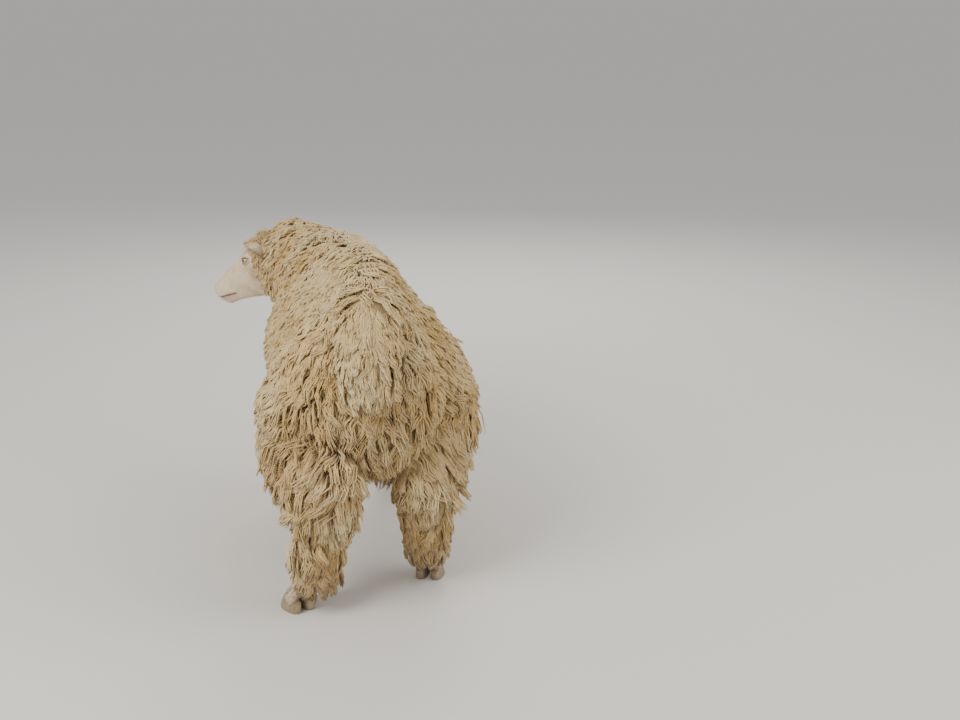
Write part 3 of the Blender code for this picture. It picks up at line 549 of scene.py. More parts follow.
def faceTone(tree):  # hair of the face and the bare skin of nose, lips and lids, with painted shade in the nostril pits and the mouth's crease, by place on the head
    marks = marked(tree, "face")
    bareness, lids, inner = marks["X"], marks["Y"], marks["Z"]
    c = faceColours
    colour = mixed(tree, patches(tree, (22, 3), 0.40, 0.68), c["hair"], c["shade"])
    colour = mixed(tree, patches(tree, (60, 2), 0.55, 0.8, 0, 0.35), colour, c["soil"])
    colour = mixed(tree, sums(tree, "MULTIPLY", inner, 0.75), colour, c["pink"])
    nose = mixed(tree, patches(tree, (90, 3), 0.35, 0.65), c["pink"], c["nose"])
    colour = mixed(tree, bareness, colour, nose)
    high = apart(tree, place(tree))["Z"]
    colour = mixed(tree, span(tree, high, 0.13, 0.04, 0, 0.6), colour, c["soil"])
    # painted shade: the leg skin under its wool takes the darker root colour of the fleece's depths
    shank = sums(tree, "MULTIPLY", span(tree, high, 0.070, 0.085), span(tree, high, 0.33, 0.31))
    colour = mixed(tree, shank, colour, fleeceColours["root"])
    # dark lid rims, with painted shade in the nostril pits, along the mouth's crease and on the skin behind
    # the eyeball
    return mixed(tree, lids, colour, c["rim"])


def faceMaterial():
    material, tree = newMaterial("face_skin", 0.75, 0.1, 0.3)
    return painted(material, faceTone(tree), noise(tree, 420, 4, 0.7), 0.35, 0.0012)


def hairMaterial():
    material, tree = newMaterial("face_hair", 0.80, 0.15, 0.2)
    colour = toned(tree, marked(tree, "lock")["Y"], faceTone(tree), (0.90, 0.88, 0.84))
    return painted(material, colour)


hornColours = dict(pale=(0.36, 0.27, 0.17), dark=(0.20, 0.145, 0.09), dust=(0.46, 0.37, 0.25),
                   sole=(0.24, 0.18, 0.11))


def hornMaterial():
    material, tree = newMaterial("horn", 0.48, 0.0, 0.4)
    at, c = place(tree), hornColours
    high = apart(tree, at)["Z"]
    streak = vectors(tree, "MULTIPLY", at, (1, 1, 0.12))[0]
    colour = mixed(tree, patches(tree, (75, 3), 0.30, 0.75, at=streak), c["pale"], c["dark"])
    colour = mixed(tree, patches(tree, (60, 4), 0.45, 0.7, 0, 0.6), colour, c["dust"])
    colour = mixed(tree, span(tree, high, 0.012, 0.0, 0, 0.7), colour, c["sole"])
    return painted(material, colour, noise(tree, 160, 4, 0.65, at=streak), 0.35, 0.0008)


udderColours = dict(pink=(0.66, 0.42, 0.34), deep=(0.52, 0.30, 0.24))


def bareMaterial():
    material, tree = newMaterial("udder_skin", 0.55, 0.05, 0.4)
    colour = mixed(tree, patches(tree, (38, 4), 0.35, 0.7), udderColours["pink"], udderColours["deep"])
    return painted(material, colour, noise(tree, 260, 4, 0.6), 0.3, 0.001)


iris = dict(pupilHalf=(0.0050, 0.0019), pupilPower=(4.0, 2.6), edge=(0.0066, 0.0088), white=0.0102,
            brown=(0.40, 0.22, 0.06), amber=(0.62, 0.42, 0.16), ring=(0.10, 0.055, 0.025),
            outer=(0.22, 0.14, 0.10), pupil=(0.006, 0.006, 0.009))


def eyeMaterial(centre, out, along):  # amber iris, dark rim and a level pupil, by place on the globe
    material, tree = newMaterial("eye_ball", 0.06, 0.0, 0.6, {"Coat Weight": 0.6, "Coat Roughness": 0.03})
    off = vectors(tree, "SUBTRACT", place(tree), tuple(centre))[0]
    axes = (along, np.cross(out, along))
    u, v = (vectors(tree, "DOT_PRODUCT", off, tuple(axis))["Value"] for axis in axes)
    squares = (sums(tree, "MULTIPLY", u, u), sums(tree, "MULTIPLY", v, v))
    radius = sums(tree, "SQRT", sums(tree, "ADD", *squares), 0.0)
    slit = sums(tree, "ADD", *(
        sums(tree, "POWER", sums(tree, "ABSOLUTE", sums(tree, "DIVIDE", axis, half), 0.0), power)
        for axis, half, power in zip((u, v), iris["pupilHalf"], iris["pupilPower"])))
    colour = mixed(tree, patches(tree, (1500, 2), 0.3, 0.7), iris["brown"], iris["amber"])
    colour = mixed(tree, span(tree, radius, *iris["edge"]), colour, iris["ring"])
    colour = mixed(tree, span(tree, radius, iris["edge"][1], iris["white"]), colour, iris["outer"])
    colour = mixed(tree, span(tree, slit, 1.25, 0.8), colour, iris["pupil"])
    return painted(material, colour)


# Wool and hair: solid tapering locks, rooted in the skin and laid along its lie.

def facesOf(thing):
    thing.data.calc_loop_triangles()
    corners = np.zeros(len(thing.data.loop_triangles) * 3, np.int32)
    thing.data.loop_triangles.foreach_get("vertices", corners)
    return corners.reshape(-1, 3)


def scatter(thing, count, share, seed):
    # roots over the skin in even random order: places, normals; share thins them out, from 0 to 1
    rng = np.random.default_rng(seed)
    spots, normals, corners = meshSpots(thing) - shift, meshNormals(thing), facesOf(thing)
    a, b, c = spots[corners[:, 0]], spots[corners[:, 1]], spots[corners[:, 2]]
    middle = (a + b + c) / 3
    weight = np.linalg.norm(np.cross(b - a, c - a), axis=1) * share(middle, unit(normals[corners].mean(1)))
    rank = (np.arange(count) + rng.random(count)) / count * weight.sum()
    chosen = np.minimum(np.searchsorted(np.cumsum(weight), rank), len(weight) - 1)
    f, g = rng.random(count), rng.random(count)
    f, g = np.where(f + g > 1, 1 - f, f), np.where(f + g > 1, 1 - g, g)
    mix = np.stack([1 - f - g, f, g], 1)[:, :, None]
    roots = (np.stack([a[chosen], b[chosen], c[chosen]], 1) * mix).sum(1)
    out = unit((normals[corners[chosen]] * mix).sum(1))
    return roots, out, rng


def grouped(roots, apartBy, rng):
    # picks leading roots about so far apart, and gives every root its nearest leader
    order = rng.permutation(len(roots))
    cell = {}
    leaders = []
    for i in order:
        key = tuple((roots[i] / apartBy).astype(int))
        near = [j for dx in (-1, 0, 1) for dy in (-1, 0, 1) for dz in (-1, 0, 1)
                for j in cell.get((key[0] + dx, key[1] + dy, key[2] + dz), ())]
        if all(((roots[i] - roots[j]) ** 2).sum() > apartBy ** 2 for j in near):
            cell.setdefault(key, []).append(i)
            leaders.append(i)
    group = nearestOf(roots[leaders], roots)
    return np.array(leaders)[group], group


def lockSteps(rings):  # shares of a lock's length at which its rings lie; the last is near the tip
    return np.linspace(0, 1 - 0.35 / rings, rings)


def laid(lie, out, rng, disorder):  # a lie turned into the skin's surface, with a little disorder
    return unit(lie - out * (lie * out).sum(1, keepdims=True) + rng.normal(0, disorder, out.shape))


def patchOf(form, roots):  # where each root lies on the form's unwrap
    t, turn = form.unwrap(roots)
    return np.stack([0.01 + 0.98 * turn, 0.01 + 0.98 * t], 1)


def tones(group, rng):  # lightness of each lock, mostly shared by its group
    return 0.65 * rng.random(group.max() + 1)[group] + 0.35 * rng.random(len(group))


def locks(roots, out, lie, length, half, stand, rng, leader=None, pull=0.0, wave=0.0, waves=1.5, flat=0.75,
          rings=4, sides=3, sunk=0.004, sag=0.25, floor=None):
    # the rings of every lock: array of locks, rings, sides, 3
    count = len(roots)
    steps = np.append(lockSteps(rings), 1.0)
    spot = roots - out * sunk
    path, before = [spot], 0.0
    for s in steps[1:]:
        rise = np.reshape(stand, (-1, 1)) * (1 - 0.75 * s)
        way = unit(out * rise + lie * (1 - rise) + np.array([0, 0, -1]) * sag * s)
        spot = spot + way * ((length + sunk) * (s - before))[:, None]
        before = s
        path.append(spot)
    path = np.stack(path, 1)
    s = steps[None, :, None]
    if leader is not None:
        path = path + (path[leader] - path) * pull * s ** 1.2
    across = unit(np.cross(out, lie))
    phase = rng.random(count) * math.tau
    if leader is not None:
        phase = phase[leader] + (phase - math.pi) * 0.20
    amount = (wave * length)[:, None, None] * s ** 0.8
    turn = (waves * math.tau * s + phase[:, None, None])
    path = path + across[:, None] * np.sin(turn) * amount + out[:, None] * np.cos(turn) * amount * 0.6
    path[:, 0] = roots - out * sunk
    if floor is not None:
        path[:, :, 2] = np.maximum(path[:, :, 2], floor)
    ahead = unit(np.gradient(path, axis=1))
    side = unit(across[:, None] - ahead * (ahead * across[:, None]).sum(2, keepdims=True))
    over = np.cross(ahead, side)
    taper = np.interp(steps, (0, 0.35, 0.7, 0.92, 1), (0.85, 1.0, 0.86, 0.55, 0.0))
    angle = np.arange(sides) * math.tau / sides + math.pi / 2
    wide = half[:, None, None] * taper[None, :, None]
    sideways = np.cos(angle)[None, None, :, None] * wide[:, :-1, :, None]
    upward = np.sin(angle)[None, None, :, None] * wide[:, :-1, :, None] * flat
    shafts = path[:, :-1, None] + (side[:, :-1, None] * sideways + over[:, :-1, None] * upward)
    return shafts, path[:, -1]


def lockMesh(name, shafts, tips, patch, tone, material, extra=None):
    # one mesh of all locks, with a patch of the unwrap and the marks of each
    count, rings, sides = shafts.shape[:3]
    each = rings * sides + 1
    spots = np.concatenate([shafts.reshape(count, -1, 3), tips[:, None]], 1).reshape(-1, 3) + shift
    around = []
    for i in range(rings - 1):
        for j in range(sides):
            k = (j + 1) % sides
            a, b, c, d = i * sides + j, i * sides + k, (i + 1) * sides + k, (i + 1) * sides + j
            around += [(a, b, c), (a, c, d)]
    last = (rings - 1) * sides
    around += [(last + j, last + (j + 1) % sides, rings * sides) for j in range(sides)]
    around += [(0, j + 1, j) for j in range(1, sides - 1)]
    around = np.array(around)
    corners = (around[None] + (np.arange(count) * each)[:, None, None]).reshape(-1)
    mesh = bpy.data.meshes.new(name)
    mesh.vertices.add(len(spots))
    mesh.vertices.foreach_set("co", spots.astype(np.float32).ravel())
    mesh.loops.add(len(corners))
    mesh.loops.foreach_set("vertex_index", corners.astype(np.int32))
    mesh.polygons.add(len(corners) // 3)
    mesh.polygons.foreach_set("loop_start", np.arange(0, len(corners), 3, dtype=np.int32))
    mesh.polygons.foreach_set("loop_total", np.full(len(corners) // 3, 3, np.int32))
    mesh.polygons.foreach_set("use_smooth", np.ones(len(corners) // 3, bool))
    mesh.update()
    along = np.append(np.repeat(lockSteps(rings), sides), 1.0)
    turned = np.append(np.tile(np.arange(sides) / (sides - 1) - 0.5, rings), 0.0)
    patchSize = 0.003
    across = patch[:, None, 0] + turned[None] * patchSize
    up = patch[:, None, 1] + (along[None] - 0.5) * patchSize
    uv = np.stack([across, up], 2).reshape(-1, 2)[corners]
    layer = mesh.uv_layers.new(name="OFBake")
    layer.data.foreach_set("uv", np.clip(uv, 0, 1).astype(np.float32).ravel())
    addMarks(mesh, "lock", np.stack([np.tile(along, (count, 1)), np.repeat(tone[:, None], each, 1),
                                     np.tile(turned, (count, 1))], 2))
    if extra is not None:
        addMarks(mesh, "face", np.repeat(extra[:, None], each, 1))
    thing = bpy.data.objects.new(name, mesh)
    bpy.context.scene.collection.objects.link(thing)
    mesh.materials.append(material)
    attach(thing, "root")


# Skin of the trunk, neck, tail and the upper limbs, as thick as the dense wool under the locks.

def buildBody():
    def core(depth):
        return lambda spots: depth(spots[:, 2]) * body["coreShare"]

    deep, short = core(lambda z: z * 0 + body["fleeceDepth"]), core(legWool)
    layers = [(trunk, (70, 80), deep), (neck, (40, 64), deep), (tail, (20, 32), short)]
    layers += [(limb, (60, 48, 0.0, 0.62), short) for limb in limbs.values()]
    parts = [swollen(form.grid(*grid), depth) for form, grid, depth in layers]
    skin = remeshed("skin_body", parts, body["voxel"], 12)
    return finished(skin, underwoolMaterial(), "fleece", "torso", "neck", "tail")


# Lower legs: shank, fetlock, two digits down to the claws, and the dewclaws behind.

# The claw's levels lean back and narrow upwards: shares of its height, then of its length and width.
claw = dict(length=0.066, width=0.026, height=0.034, cleft=0.0035, rings=26, sides=56,
            backAt=(0, 0.35, 0.78, 1.0), back=(0.0, -0.065, -0.165, -0.235),
            scaleAt=(0, 0.05, 0.35, 0.78, 0.93, 1.0), scale=(0.965, 1.0, 0.95, 0.83, 0.76, 0.60))
digit = dict(halves=((0.0130, 0.0165), (0.0115, 0.0150), (0.0122, 0.0220), (0.0108, 0.0200)))
dewclaw = dict(length=0.017, back=0.020, spread=0.0125, height=0.066, sunk=0.008,
               halves=((0.007, 0.006), (0.0075, 0.0065), (0.0062, 0.0050), (0.0022, 0.0018)))


def footPlace(leg):
    x, y = leg["foot"]
    turn = Matrix.Rotation(-leg["sign"] * math.radians(leg["toeOut"]), 4, "Z")
    return np.array(Matrix.Translation(Vector((x, y, 0))) @ turn)


def placed(matrix, spots):
    return spots @ matrix[:3, :3].T + matrix[:3, 3]


def ball(spot, size, across=24, high=16):
    bm = bmesh.new()
    bmesh.ops.create_uvsphere(bm, u_segments=across, v_segments=high, radius=1)
    spots = np.array([v.co[:] for v in bm.verts]) * np.array(size) + np.array(spot)
    faces = [tuple(v.index for v in f.verts) for f in bm.faces]
    bm.free()
    return spots, faces


def ordered(faces):  # each face from its lowest place and the faces in order, the same in every run
    starts = [face.index(min(face)) for face in faces]
    return sorted(face[start:] + face[:start] for face, start in zip(faces, starts))


def tube(path, halves, sides=24):  # a closed round form through the places of a path
    rows = np.hstack([np.array(path, float), np.array(halves, float)])
    return Form(roundReader(rows)).grid(24, sides)


def buildLowerLegs(material):
    for name, leg in legs.items():
        fx, fy = leg["fetlock"]
        foot = footPlace(leg)
        turn = foot[:3, :3]
        parts = [swollen(limbs[name].grid(70, 40, 0.50, 0.84),
                         lambda spots: legWool(spots[:, 2]) * body["coreShare"] * 0.9),
                 ball((fx, fy, joints["fetlock"]), (0.0205, 0.0235, 0.0240))]
        for way in (-1, 1):
            centre = way * (claw["width"] + claw["cleft"]) / 2
            heel = placed(foot, np.array([[centre, -0.012, 0.030], [centre, -0.010, 0.024]]))
            top = np.array([fx, fy, joints["fetlock"] + 0.004]) + turn @ np.array([way * 0.0075, 0, 0])
            knuckle = (top * 0.5 + heel[0] * 0.5) + turn @ np.array([way * 0.001, 0.004, 0.001])
            parts.append(tube([top, knuckle, *heel], digit["halves"]))
        skin = remeshed("skin_" + name, parts, body["legVoxel"], 8)
        addMarks(skin.data, "face", np.zeros((len(skin.data.vertices), 3)))
        leg["skin"] = finished(skin, material, "fleece", "leg_" + name)


def hoofLoop(way, height):  # one level of a claw, from 0 at the sole to 1 at its top
    width, length = claw["width"], claw["length"]
    back = np.interp(height, claw["backAt"], claw["back"])
    scale = np.interp(height, claw["scaleAt"], claw["scale"])
    a = np.arange(claw["sides"]) * math.tau / claw["sides"]
    ahead = np.sin(a)
    narrow = 1 - 0.42 * np.maximum(ahead, 0) ** 1.6
    x = np.sign(np.cos(a)) * np.abs(np.cos(a)) ** 0.85 * width / 2 * scale * narrow
    x = x - way * 0.16 * width * np.maximum(ahead, 0) ** 2
    x = np.maximum(x, -width / 2) if way > 0 else np.minimum(x, width / 2)
    y = ahead * length / 2 * scale + back * length
    ripple = 0.00022 * math.sin(height * 44) * (0.1 < height < 0.9)
    centre = way * (width + claw["cleft"]) / 2
    z = height * claw["height"] * (0.80 + 0.20 * ahead)
    return np.stack([centre + x * (1 + ripple * 30), y * (1 + ripple * 20), z], 1)


def buildHooves(material):
    rings, sides = claw["rings"], claw["sides"]
    for name, leg in legs.items():
        foot = footPlace(leg)
        for way in (1, -1):
            outer = "outer" if way == leg["sign"] else "inner"
            loops = [hoofLoop(way, height) for height in np.linspace(0, 1, rings)]
            ends = [[loops[0][:, 0].mean(), 0, 0.0], [*loops[-1][:, :2].mean(0), claw["height"] * 1.02]]
            spots = np.vstack(loops + [ends])
            hoof = newMesh("hoof_" + name + "_" + outer, placed(foot, spots), ringFaces(rings, sides))
            finished(hoof, material, "hoof_horn", "claw_" + name + "_" + outer)
            for polygon in hoof.data.polygons[(rings - 1) * sides:]:
                polygon.use_smooth = False
        parts = []
        for way in (-1, 1):
            at = np.array([*leg["fetlock"], dewclaw["height"]]) + foot[:3, :3] @ np.array(
                [way * dewclaw["spread"], -dewclaw["back"], 0])
            down = foot[:3, :3] @ np.array([way * 0.25, -0.55, -0.8])
            reach = dewclaw["length"]
            path = [at - down * dewclaw["sunk"], at, at + down * reach * 0.55, at + down * reach]
            parts.append(tube(path, dewclaw["halves"], 20))
        finished(newMesh("dewclaws_" + name, *joined(parts)), material, "hoof_horn")


# Head, ears, eyes and udder.

def earAxes(sign):
    turn = headArray[:3, :3]
    root = fromHead(mirrored(ear["root"], sign)[None])[0]
    out = unit(turn @ mirrored(ear["out"], sign))
    front = turn @ mirrored(ear["front"], sign)
    front = unit(front - out * (front @ out))
    return root, out, front, np.cross(out, front)


def earPart(sign):  # a closed leaf with a cup, rolled at its root
    root, out, front, up = earAxes(sign)
    rings, across = 60, 24
    t = np.linspace(-ear["sunk"], 1, rings)[:, None]
    part = np.clip(t, 0, 1)
    width = ear["width"] / 2 * (0.50 + 0.50 * np.sin(math.pi * np.minimum(part * 1.15, 1) ** 0.9))
    width = width * (1 - 0.55 * part ** 4) * np.sqrt(np.maximum(1 - part ** 6, 0.03))
    roll = np.radians(ear["rolled"] - ear["opened"] * np.minimum(part * 1.4, 1))
    radius = width / np.sin(np.minimum(roll / 2, math.pi / 2))
    thick = ear["thickness"] * (1 + 1.3 * np.exp(-(part / 0.16) ** 2))
    f = np.linspace(0, 1, across)[None]
    a = roll * (f - 0.5)
    cup = radius * (1 - np.cos(a))
    sag = -ear["fall"] * part ** 2
    edge = 1 - 0.55 * np.abs(2 * f - 1) ** 8
    sheets = []
    for push in (0.0, -1.0):
        push = push * thick * edge + (1 - edge) * -thick / 2 * (push == 0)
        r = radius - push
        at = (root + out * (t[:, :, None] * ear["length"]) + up * ((np.sin(a) * r + sag)[:, :, None])
              + front * ((cup + push * np.cos(a) - ear["thickness"])[:, :, None]))
        sheets.append(at)
    loop = np.concatenate([sheets[0], sheets[1][:, ::-1]], 1)
    sides = loop.shape[1]
    spots = np.vstack([loop.reshape(-1, 3), loop[0].mean(0)[None], loop[-1].mean(0)[None]])
    faces = ringFaces(rings, sides)
    if sign < 0:
        faces = [face[::-1] for face in faces]
    return spots, faces


def swell(local):
    moved = local.copy()
    for spot, reach, push in head["swells"]:
        for sign in (-1, 1):
            centre = np.array([sign * spot[1], spot[0], spot[2]])
            weight = np.exp(-((local - centre) ** 2).sum(1) / reach ** 2) / (2 if spot[1] == 0 else 1)
            moved += weight[:, None] * np.array([sign * push[1], push[0], push[2]])
    return moved


def eyeAxes(sign):
    out = unit(mirrored(eye["out"], sign))
    along = np.array(eye["along"], float)
    along = unit(along - out * (along @ out))
    return mirrored(eye["place"], sign), out, along, np.cross(out, along) * sign


def mouthHeight(along):
    return mouth["height"] - mouth["fall"] * (np.maximum(mouth["front"] - along, 0) / 0.07) ** 1.5


def finer(thing, near):  # splits the faces round some places
    bm = bmesh.new()
    bm.from_mesh(thing.data)
    local = toHead(np.array([v.co[:] for v in bm.verts]) - shift)
    close = near(local)
    edges = [e for e in bm.edges if close[e.verts[0].index] and close[e.verts[1].index]]
    bmesh.ops.subdivide_edges(bm, edges=edges, cuts=1, use_grid_fill=True, smooth=0.0)
    bmesh.ops.triangulate(bm, faces=[f for f in bm.faces if len(f.verts) > 4])
    bm.to_mesh(thing.data)
    bm.free()


# Where the head's mesh is split: ahead of this, or so near to an eye.
fine = dict(muzzle=0.164, eyes=0.026, lids=0.019)


def nearEyes(local, reach):
    left, right = (((local - eyeAxes(sign)[0]) ** 2).sum(1) < reach ** 2 for sign in (-1, 1))
    return left | right


def shapeLids(local):
    lids = np.zeros(len(local))
    for sign in (-1, 1):
        centre, out, along, up = eyeAxes(sign)
        off = local - centre
        u, v, w = off @ along, off @ up, off @ out
        near = (np.linalg.norm(off, axis=1) < eye["reach"]) & (w > -0.004)
        opening = eye["halfOpening"] * np.where(v > 0, 1.08, 0.86)
        lift = 0.10 * u
        e = np.sqrt((u / eye["halfLength"]) ** 2 + ((v - lift) / opening) ** 2)
        e = np.where(np.abs(u) < eye["halfLength"], e, e * (1 + 0.25 * np.abs((v - lift) / opening)))
        lid = eye["radius"] + eye["lid"] + 0.0004 * np.sin(u * 500)
        over = np.sqrt(np.maximum(lid ** 2 - u ** 2 - v ** 2, 0.002 ** 2))
        inside = np.sqrt(np.maximum((eye["radius"] - eye["hollow"]) ** 2 - u ** 2 - v ** 2, 0.001 ** 2))
        share = 1 - smooth(e, 1.25, 2.15)
        target = w * (1 - share) + np.maximum(over, w * 0.3) * share
        crease = eye["crease"] * np.exp(-((e - 1.72) / 0.13) ** 2) * smooth(v, -0.002, 0.004)
        pouch = eye["pouch"] * np.exp(-((e - 1.75) / 0.16) ** 2) * smooth(-v, 0.000, 0.004)
        target = target - crease - pouch
        hole = 1 - smooth(e, 0.93, 1.02)
        target = target * (1 - hole) + inside * hole
        local[near] += ((target - w)[:, None] * out)[near]
        rim = np.exp(-(np.maximum(np.abs(e - 1.03) - 0.08, 0) / 0.09) ** 2) * near
        # the lid rims are dark, and the skin inside the opening, behind the eyeball, is painted shade
        lids = np.maximum(lids, np.where(near, np.maximum(rim, hole), 0))
    return lids


def shapeMouth(local, normals):
    side, along, up = local.T
    gap = up - mouthHeight(along)
    fade = smooth(along, mouth["corner"], mouth["corner"] + 0.012)
    line = np.exp(-(gap / mouth["width"]) ** 2) * fade
    lips = mouth["upperLip"] * np.exp(-((gap - 0.0050) / mouth["lipWidth"]) ** 2)
    lips = (lips + mouth["lowerLip"] * np.exp(-((gap + 0.0048) / mouth["lipWidth"]) ** 2)) * fade
    split = np.exp(-(side / mouth["splitWidth"]) ** 2) * smooth(along, 0.222, 0.230)
    split = split * smooth(up, mouth["height"], -0.016) * (1 - smooth(up, -0.006, 0.000))
    local += normals * (lips - mouth["depth"] * line - mouth["split"] * split)[:, None]
    bare = 0.85 * np.exp(-(gap / 0.0050) ** 2) * fade
    # line also darkens the crease of the mouth as painted shade
    return bare, line


def shapeNostrils(local):
    bare, dark = np.zeros(len(local)), np.zeros(len(local))
    for sign in (-1, 1):
        inner, outer = np.array(nostril["inner"]), np.array(nostril["outer"])
        spots = np.stack([local[:, 0] * sign, local[:, 2]], 1)
        f = np.clip(((spots - inner) @ (outer - inner)) / ((outer - inner) @ (outer - inner)), 0, 1)
        bow = np.array([nostril["bow"], -nostril["bow"]]) * np.sin(math.pi * f)[:, None]
        away = np.linalg.norm(spots - inner - f[:, None] * (outer - inner) - bow, axis=1)
        wide = nostril["width"] * (1.15 - 0.55 * f)
        front = smooth(local[:, 1], 0.196, 0.206)
        pit = (1 - smooth(away / wide, 0.35, 1.0)) * front
        wing = np.exp(-((away / wide - 1.45) / 0.45) ** 2) * front
        turn = np.array([-0.30 * sign, -0.95, 0.10])
        local += pit[:, None] * turn * nostril["depth"] * (1 - 0.35 * f)[:, None]
        local += wing[:, None] * np.array([0.35 * sign, 0.9, 0.15]) * nostril["wing"]
        bare = np.maximum(bare, np.exp(-np.maximum(away / wide - 1.2, 0) ** 2 / 1.8) * front)
        # painted shade: the dark mark in the pit of each nostril
        dark = np.maximum(dark, pit)
    return bare, dark


def earShare(local):
    share = np.zeros(len(local))
    for sign in (-1, 1):
        share = np.maximum(share, smooth(sign * local[:, 0], 0.060, 0.070) * (local[:, 1] < 0.055))
    return share


def buildHead():
    spots, faces = skull.grid(150, 110)
    spots = fromHead(swell(toHead(spots)))
    skin = remeshed("skin_head", [(spots, faces), earPart(-1), earPart(1)], head["voxel"], 3)
    finer(skin, lambda local: (local[:, 1] > fine["muzzle"]) | nearEyes(local, fine["eyes"]))
    finer(skin, lambda local: nearEyes(local, fine["lids"]))
    for polygon in skin.data.polygons:
        polygon.use_smooth = True
    local = toHead(meshSpots(skin) - shift)
    normals = meshNormals(skin) @ headArray[:3, :3]
    lips, line = shapeMouth(local, normals)
    nose, dark = shapeNostrils(local)
    lids = shapeLids(local)
    setSpots(skin, fromHead(local) + shift)
    normals, inner = meshNormals(skin), np.zeros(len(local))
    for sign in (-1, 1):
        front = earAxes(sign)[2]
        cup = (normals @ front > 0.15) * (sign * local[:, 0] > 0)
        inner = np.maximum(inner, earShare(local) * cup * 0.8)
    bare = np.clip(np.maximum(lips, nose), 0, 1)
    # the second mark: dark lid rims, with painted shade in the nostril pits, along the mouth's crease and
    # behind the eyeball
    rimsAndShade = np.clip(np.maximum(lids, np.maximum(dark, 0.8 * line)), 0, 1)
    addMarks(skin.data, "face", np.stack([bare, rimsAndShade, inner], 1))
    return finished(skin, faceMaterial(), "face_hair", "head", "ear_left", "ear_right")


def buildEyes():
    for sign, name in ((-1, "left"), (1, "right")):
        centre, out, along = eyeAxes(sign)[:3]
        turn = headArray[:3, :3]
        middle, out, along = fromHead(centre[None])[0], turn @ out, turn @ along
        spots, faces = ball((0, 0, 0), (1, 1, 1), 64, 48)
        r = eye["radius"]
        forward = spots @ out
        bulge = 1 + eye["bulge"] * smooth(forward, 0.80, 1.0)
        globe = newMesh("eyeball_" + name, middle + spots * (r * bulge)[:, None], ordered(faces))
        finished(globe, eyeMaterial(middle + shift, out, along), "eye", "eye_" + name)


udder = dict(place=(0.0, 0.170, 0.268), size=(0.060, 0.078, 0.060), voxel=0.0034,
             teatAt=(0.040, 0.030, 0.72), teatWay=(0.35, 0.40, -0.85), teatLength=0.026, teatSunk=0.016,
             teatHalves=(0.0115, 0.0088, 0.0074, 0.0058))


def buildUdder():
    parts = []
    px, py, pz = udder["place"]
    sx, sy, sz = udder["size"]
    aside, ahead, below = udder["teatAt"]
    for sign in (-1, 1):
        parts.append(ball((px + sign * sx * 0.42, py, pz), (sx * 0.62, sy, sz), 40, 28))
        root = np.array([px + sign * aside, py + ahead, pz - sz * below])
        way = unit(mirrored(udder["teatWay"], sign))
        reach = udder["teatLength"]
        path = [root - way * udder["teatSunk"], root, root + way * reach * 0.5, root + way * reach]
        parts.append(tube(path, [[half, half] for half in udder["teatHalves"]]))
    skin = remeshed("udder_skin", parts, udder["voxel"], 6)
    finished(skin, bareMaterial(), "bare_skin", "udder")


# Wool over each region of the skin: how many locks, how far apart their groups, length and half width, how
# upright they stand, how far a group draws together, the size and number of the waves, and how they hang.
woolColumns = ("count", "group", "length", "half", "stand", "pull", "wave", "waves", "sag")
woolRows = {
    "rump": (8800, 0.012, 0.042, 0.0024, 0.67, 0.54, 0.15, 1.0, 0.35),
    "back": (9000, 0.012, 0.043, 0.0025, 0.70, 0.50, 0.15, 1.0, 0.25),
    "side_left": (6700, 0.013, 0.045, 0.0026, 0.62, 0.56, 0.15, 1.0, 0.40),
    "side_right": (6700, 0.013, 0.045, 0.0026, 0.62, 0.56, 0.15, 1.0, 0.40),
    "belly": (3400, 0.016, 0.044, 0.0028, 0.55, 0.65, 0.15, 1.0, 0.50),
    "neck": (6000, 0.012, 0.042, 0.0023, 0.60, 0.60, 0.15, 1.0, 0.35),
    "tail": (1500, 0.011, 0.040, 0.0023, 0.50, 0.60, 0.15, 1.0, 0.60),
    "leg_hind_left": (4800, 0.015, 0.056, 0.0024, 0.50, 0.64, 0.12, 1.1, 0.85),
    "leg_hind_right": (4600, 0.015, 0.056, 0.0024, 0.50, 0.64, 0.12, 1.1, 0.85),
    "leg_front_left": (2700, 0.014, 0.044, 0.0024, 0.48, 0.64, 0.12, 1.1, 0.80),
    "leg_front_right": (2700, 0.014, 0.044, 0.0024, 0.48, 0.64, 0.12, 1.1, 0.80),
}
woolRegions = {name: dict(zip(woolColumns, row)) for name, row in woolRows.items()}
britch = dict(longer=0.35, below=0.50, stand=0.16)
limbReach = 0.030  # how far the skin of a limb may lie outside its own column
seeds = dict(wool=5, roots=20, poll=61, face=71, ear=81, leg=91)


def insideLimb(name, spots):  # how far out from a limb's own column a place lies; 1 is at the column's skin
    t = np.linspace(0, 1, 100)
    path, half, deep = limbs[name].read(t)[:3]
    nearest = np.abs(spots[:, None, 2] - path[None, :, 2]).argmin(1)
    off = spots - path[nearest]
    across, ahead = off[:, 0] / (half[nearest] + limbReach), off[:, 1] / (deep[nearest] + limbReach)
    return np.sqrt(across ** 2 + ahead ** 2)


def regionOf(exact, rng):  # the region that each place of the body skin belongs to, with uneven borders
    spots = exact + rng.normal(0, 0.011, exact.shape)
    region = np.full(len(spots), "side_left", dtype=object)
    region[spots[:, 0] > midline(spots[:, 1])] = "side_right"
    turn = trunk.unwrap(spots)[1]
    region[(turn > 0.12) & (turn < 0.38)] = "back"
    region[(turn > 0.64) & (turn < 0.86)] = "belly"
    region[spots[:, 1] < 0.10] = "rump"
    region[(spots[:, 1] > 0.655) & (neck.unwrap(spots)[0] > 0.22)] = "neck"
    for name, leg in legs.items():
        inside = insideLimb(name, exact) < 1.06
        high = 0.34 if leg["hind"] else 0.30
        region[inside & (spots[:, 2] < high) & (exact[:, 0] * leg["sign"] > -0.02)] = "leg_" + name
    off = np.abs(exact[:, 0]) < 0.035
    region[off & (exact[:, 1] < -0.078) & (exact[:, 2] > 0.43)] = "tail"
    return region


def outsideHead(skin, spots):  # how far a place lies outside the head skin
    surface, normals = meshSpots(skin) - shift, meshNormals(skin)
    close = nearestOf(surface, spots)
    return ((spots - surface[close]) * normals[close]).sum(1)


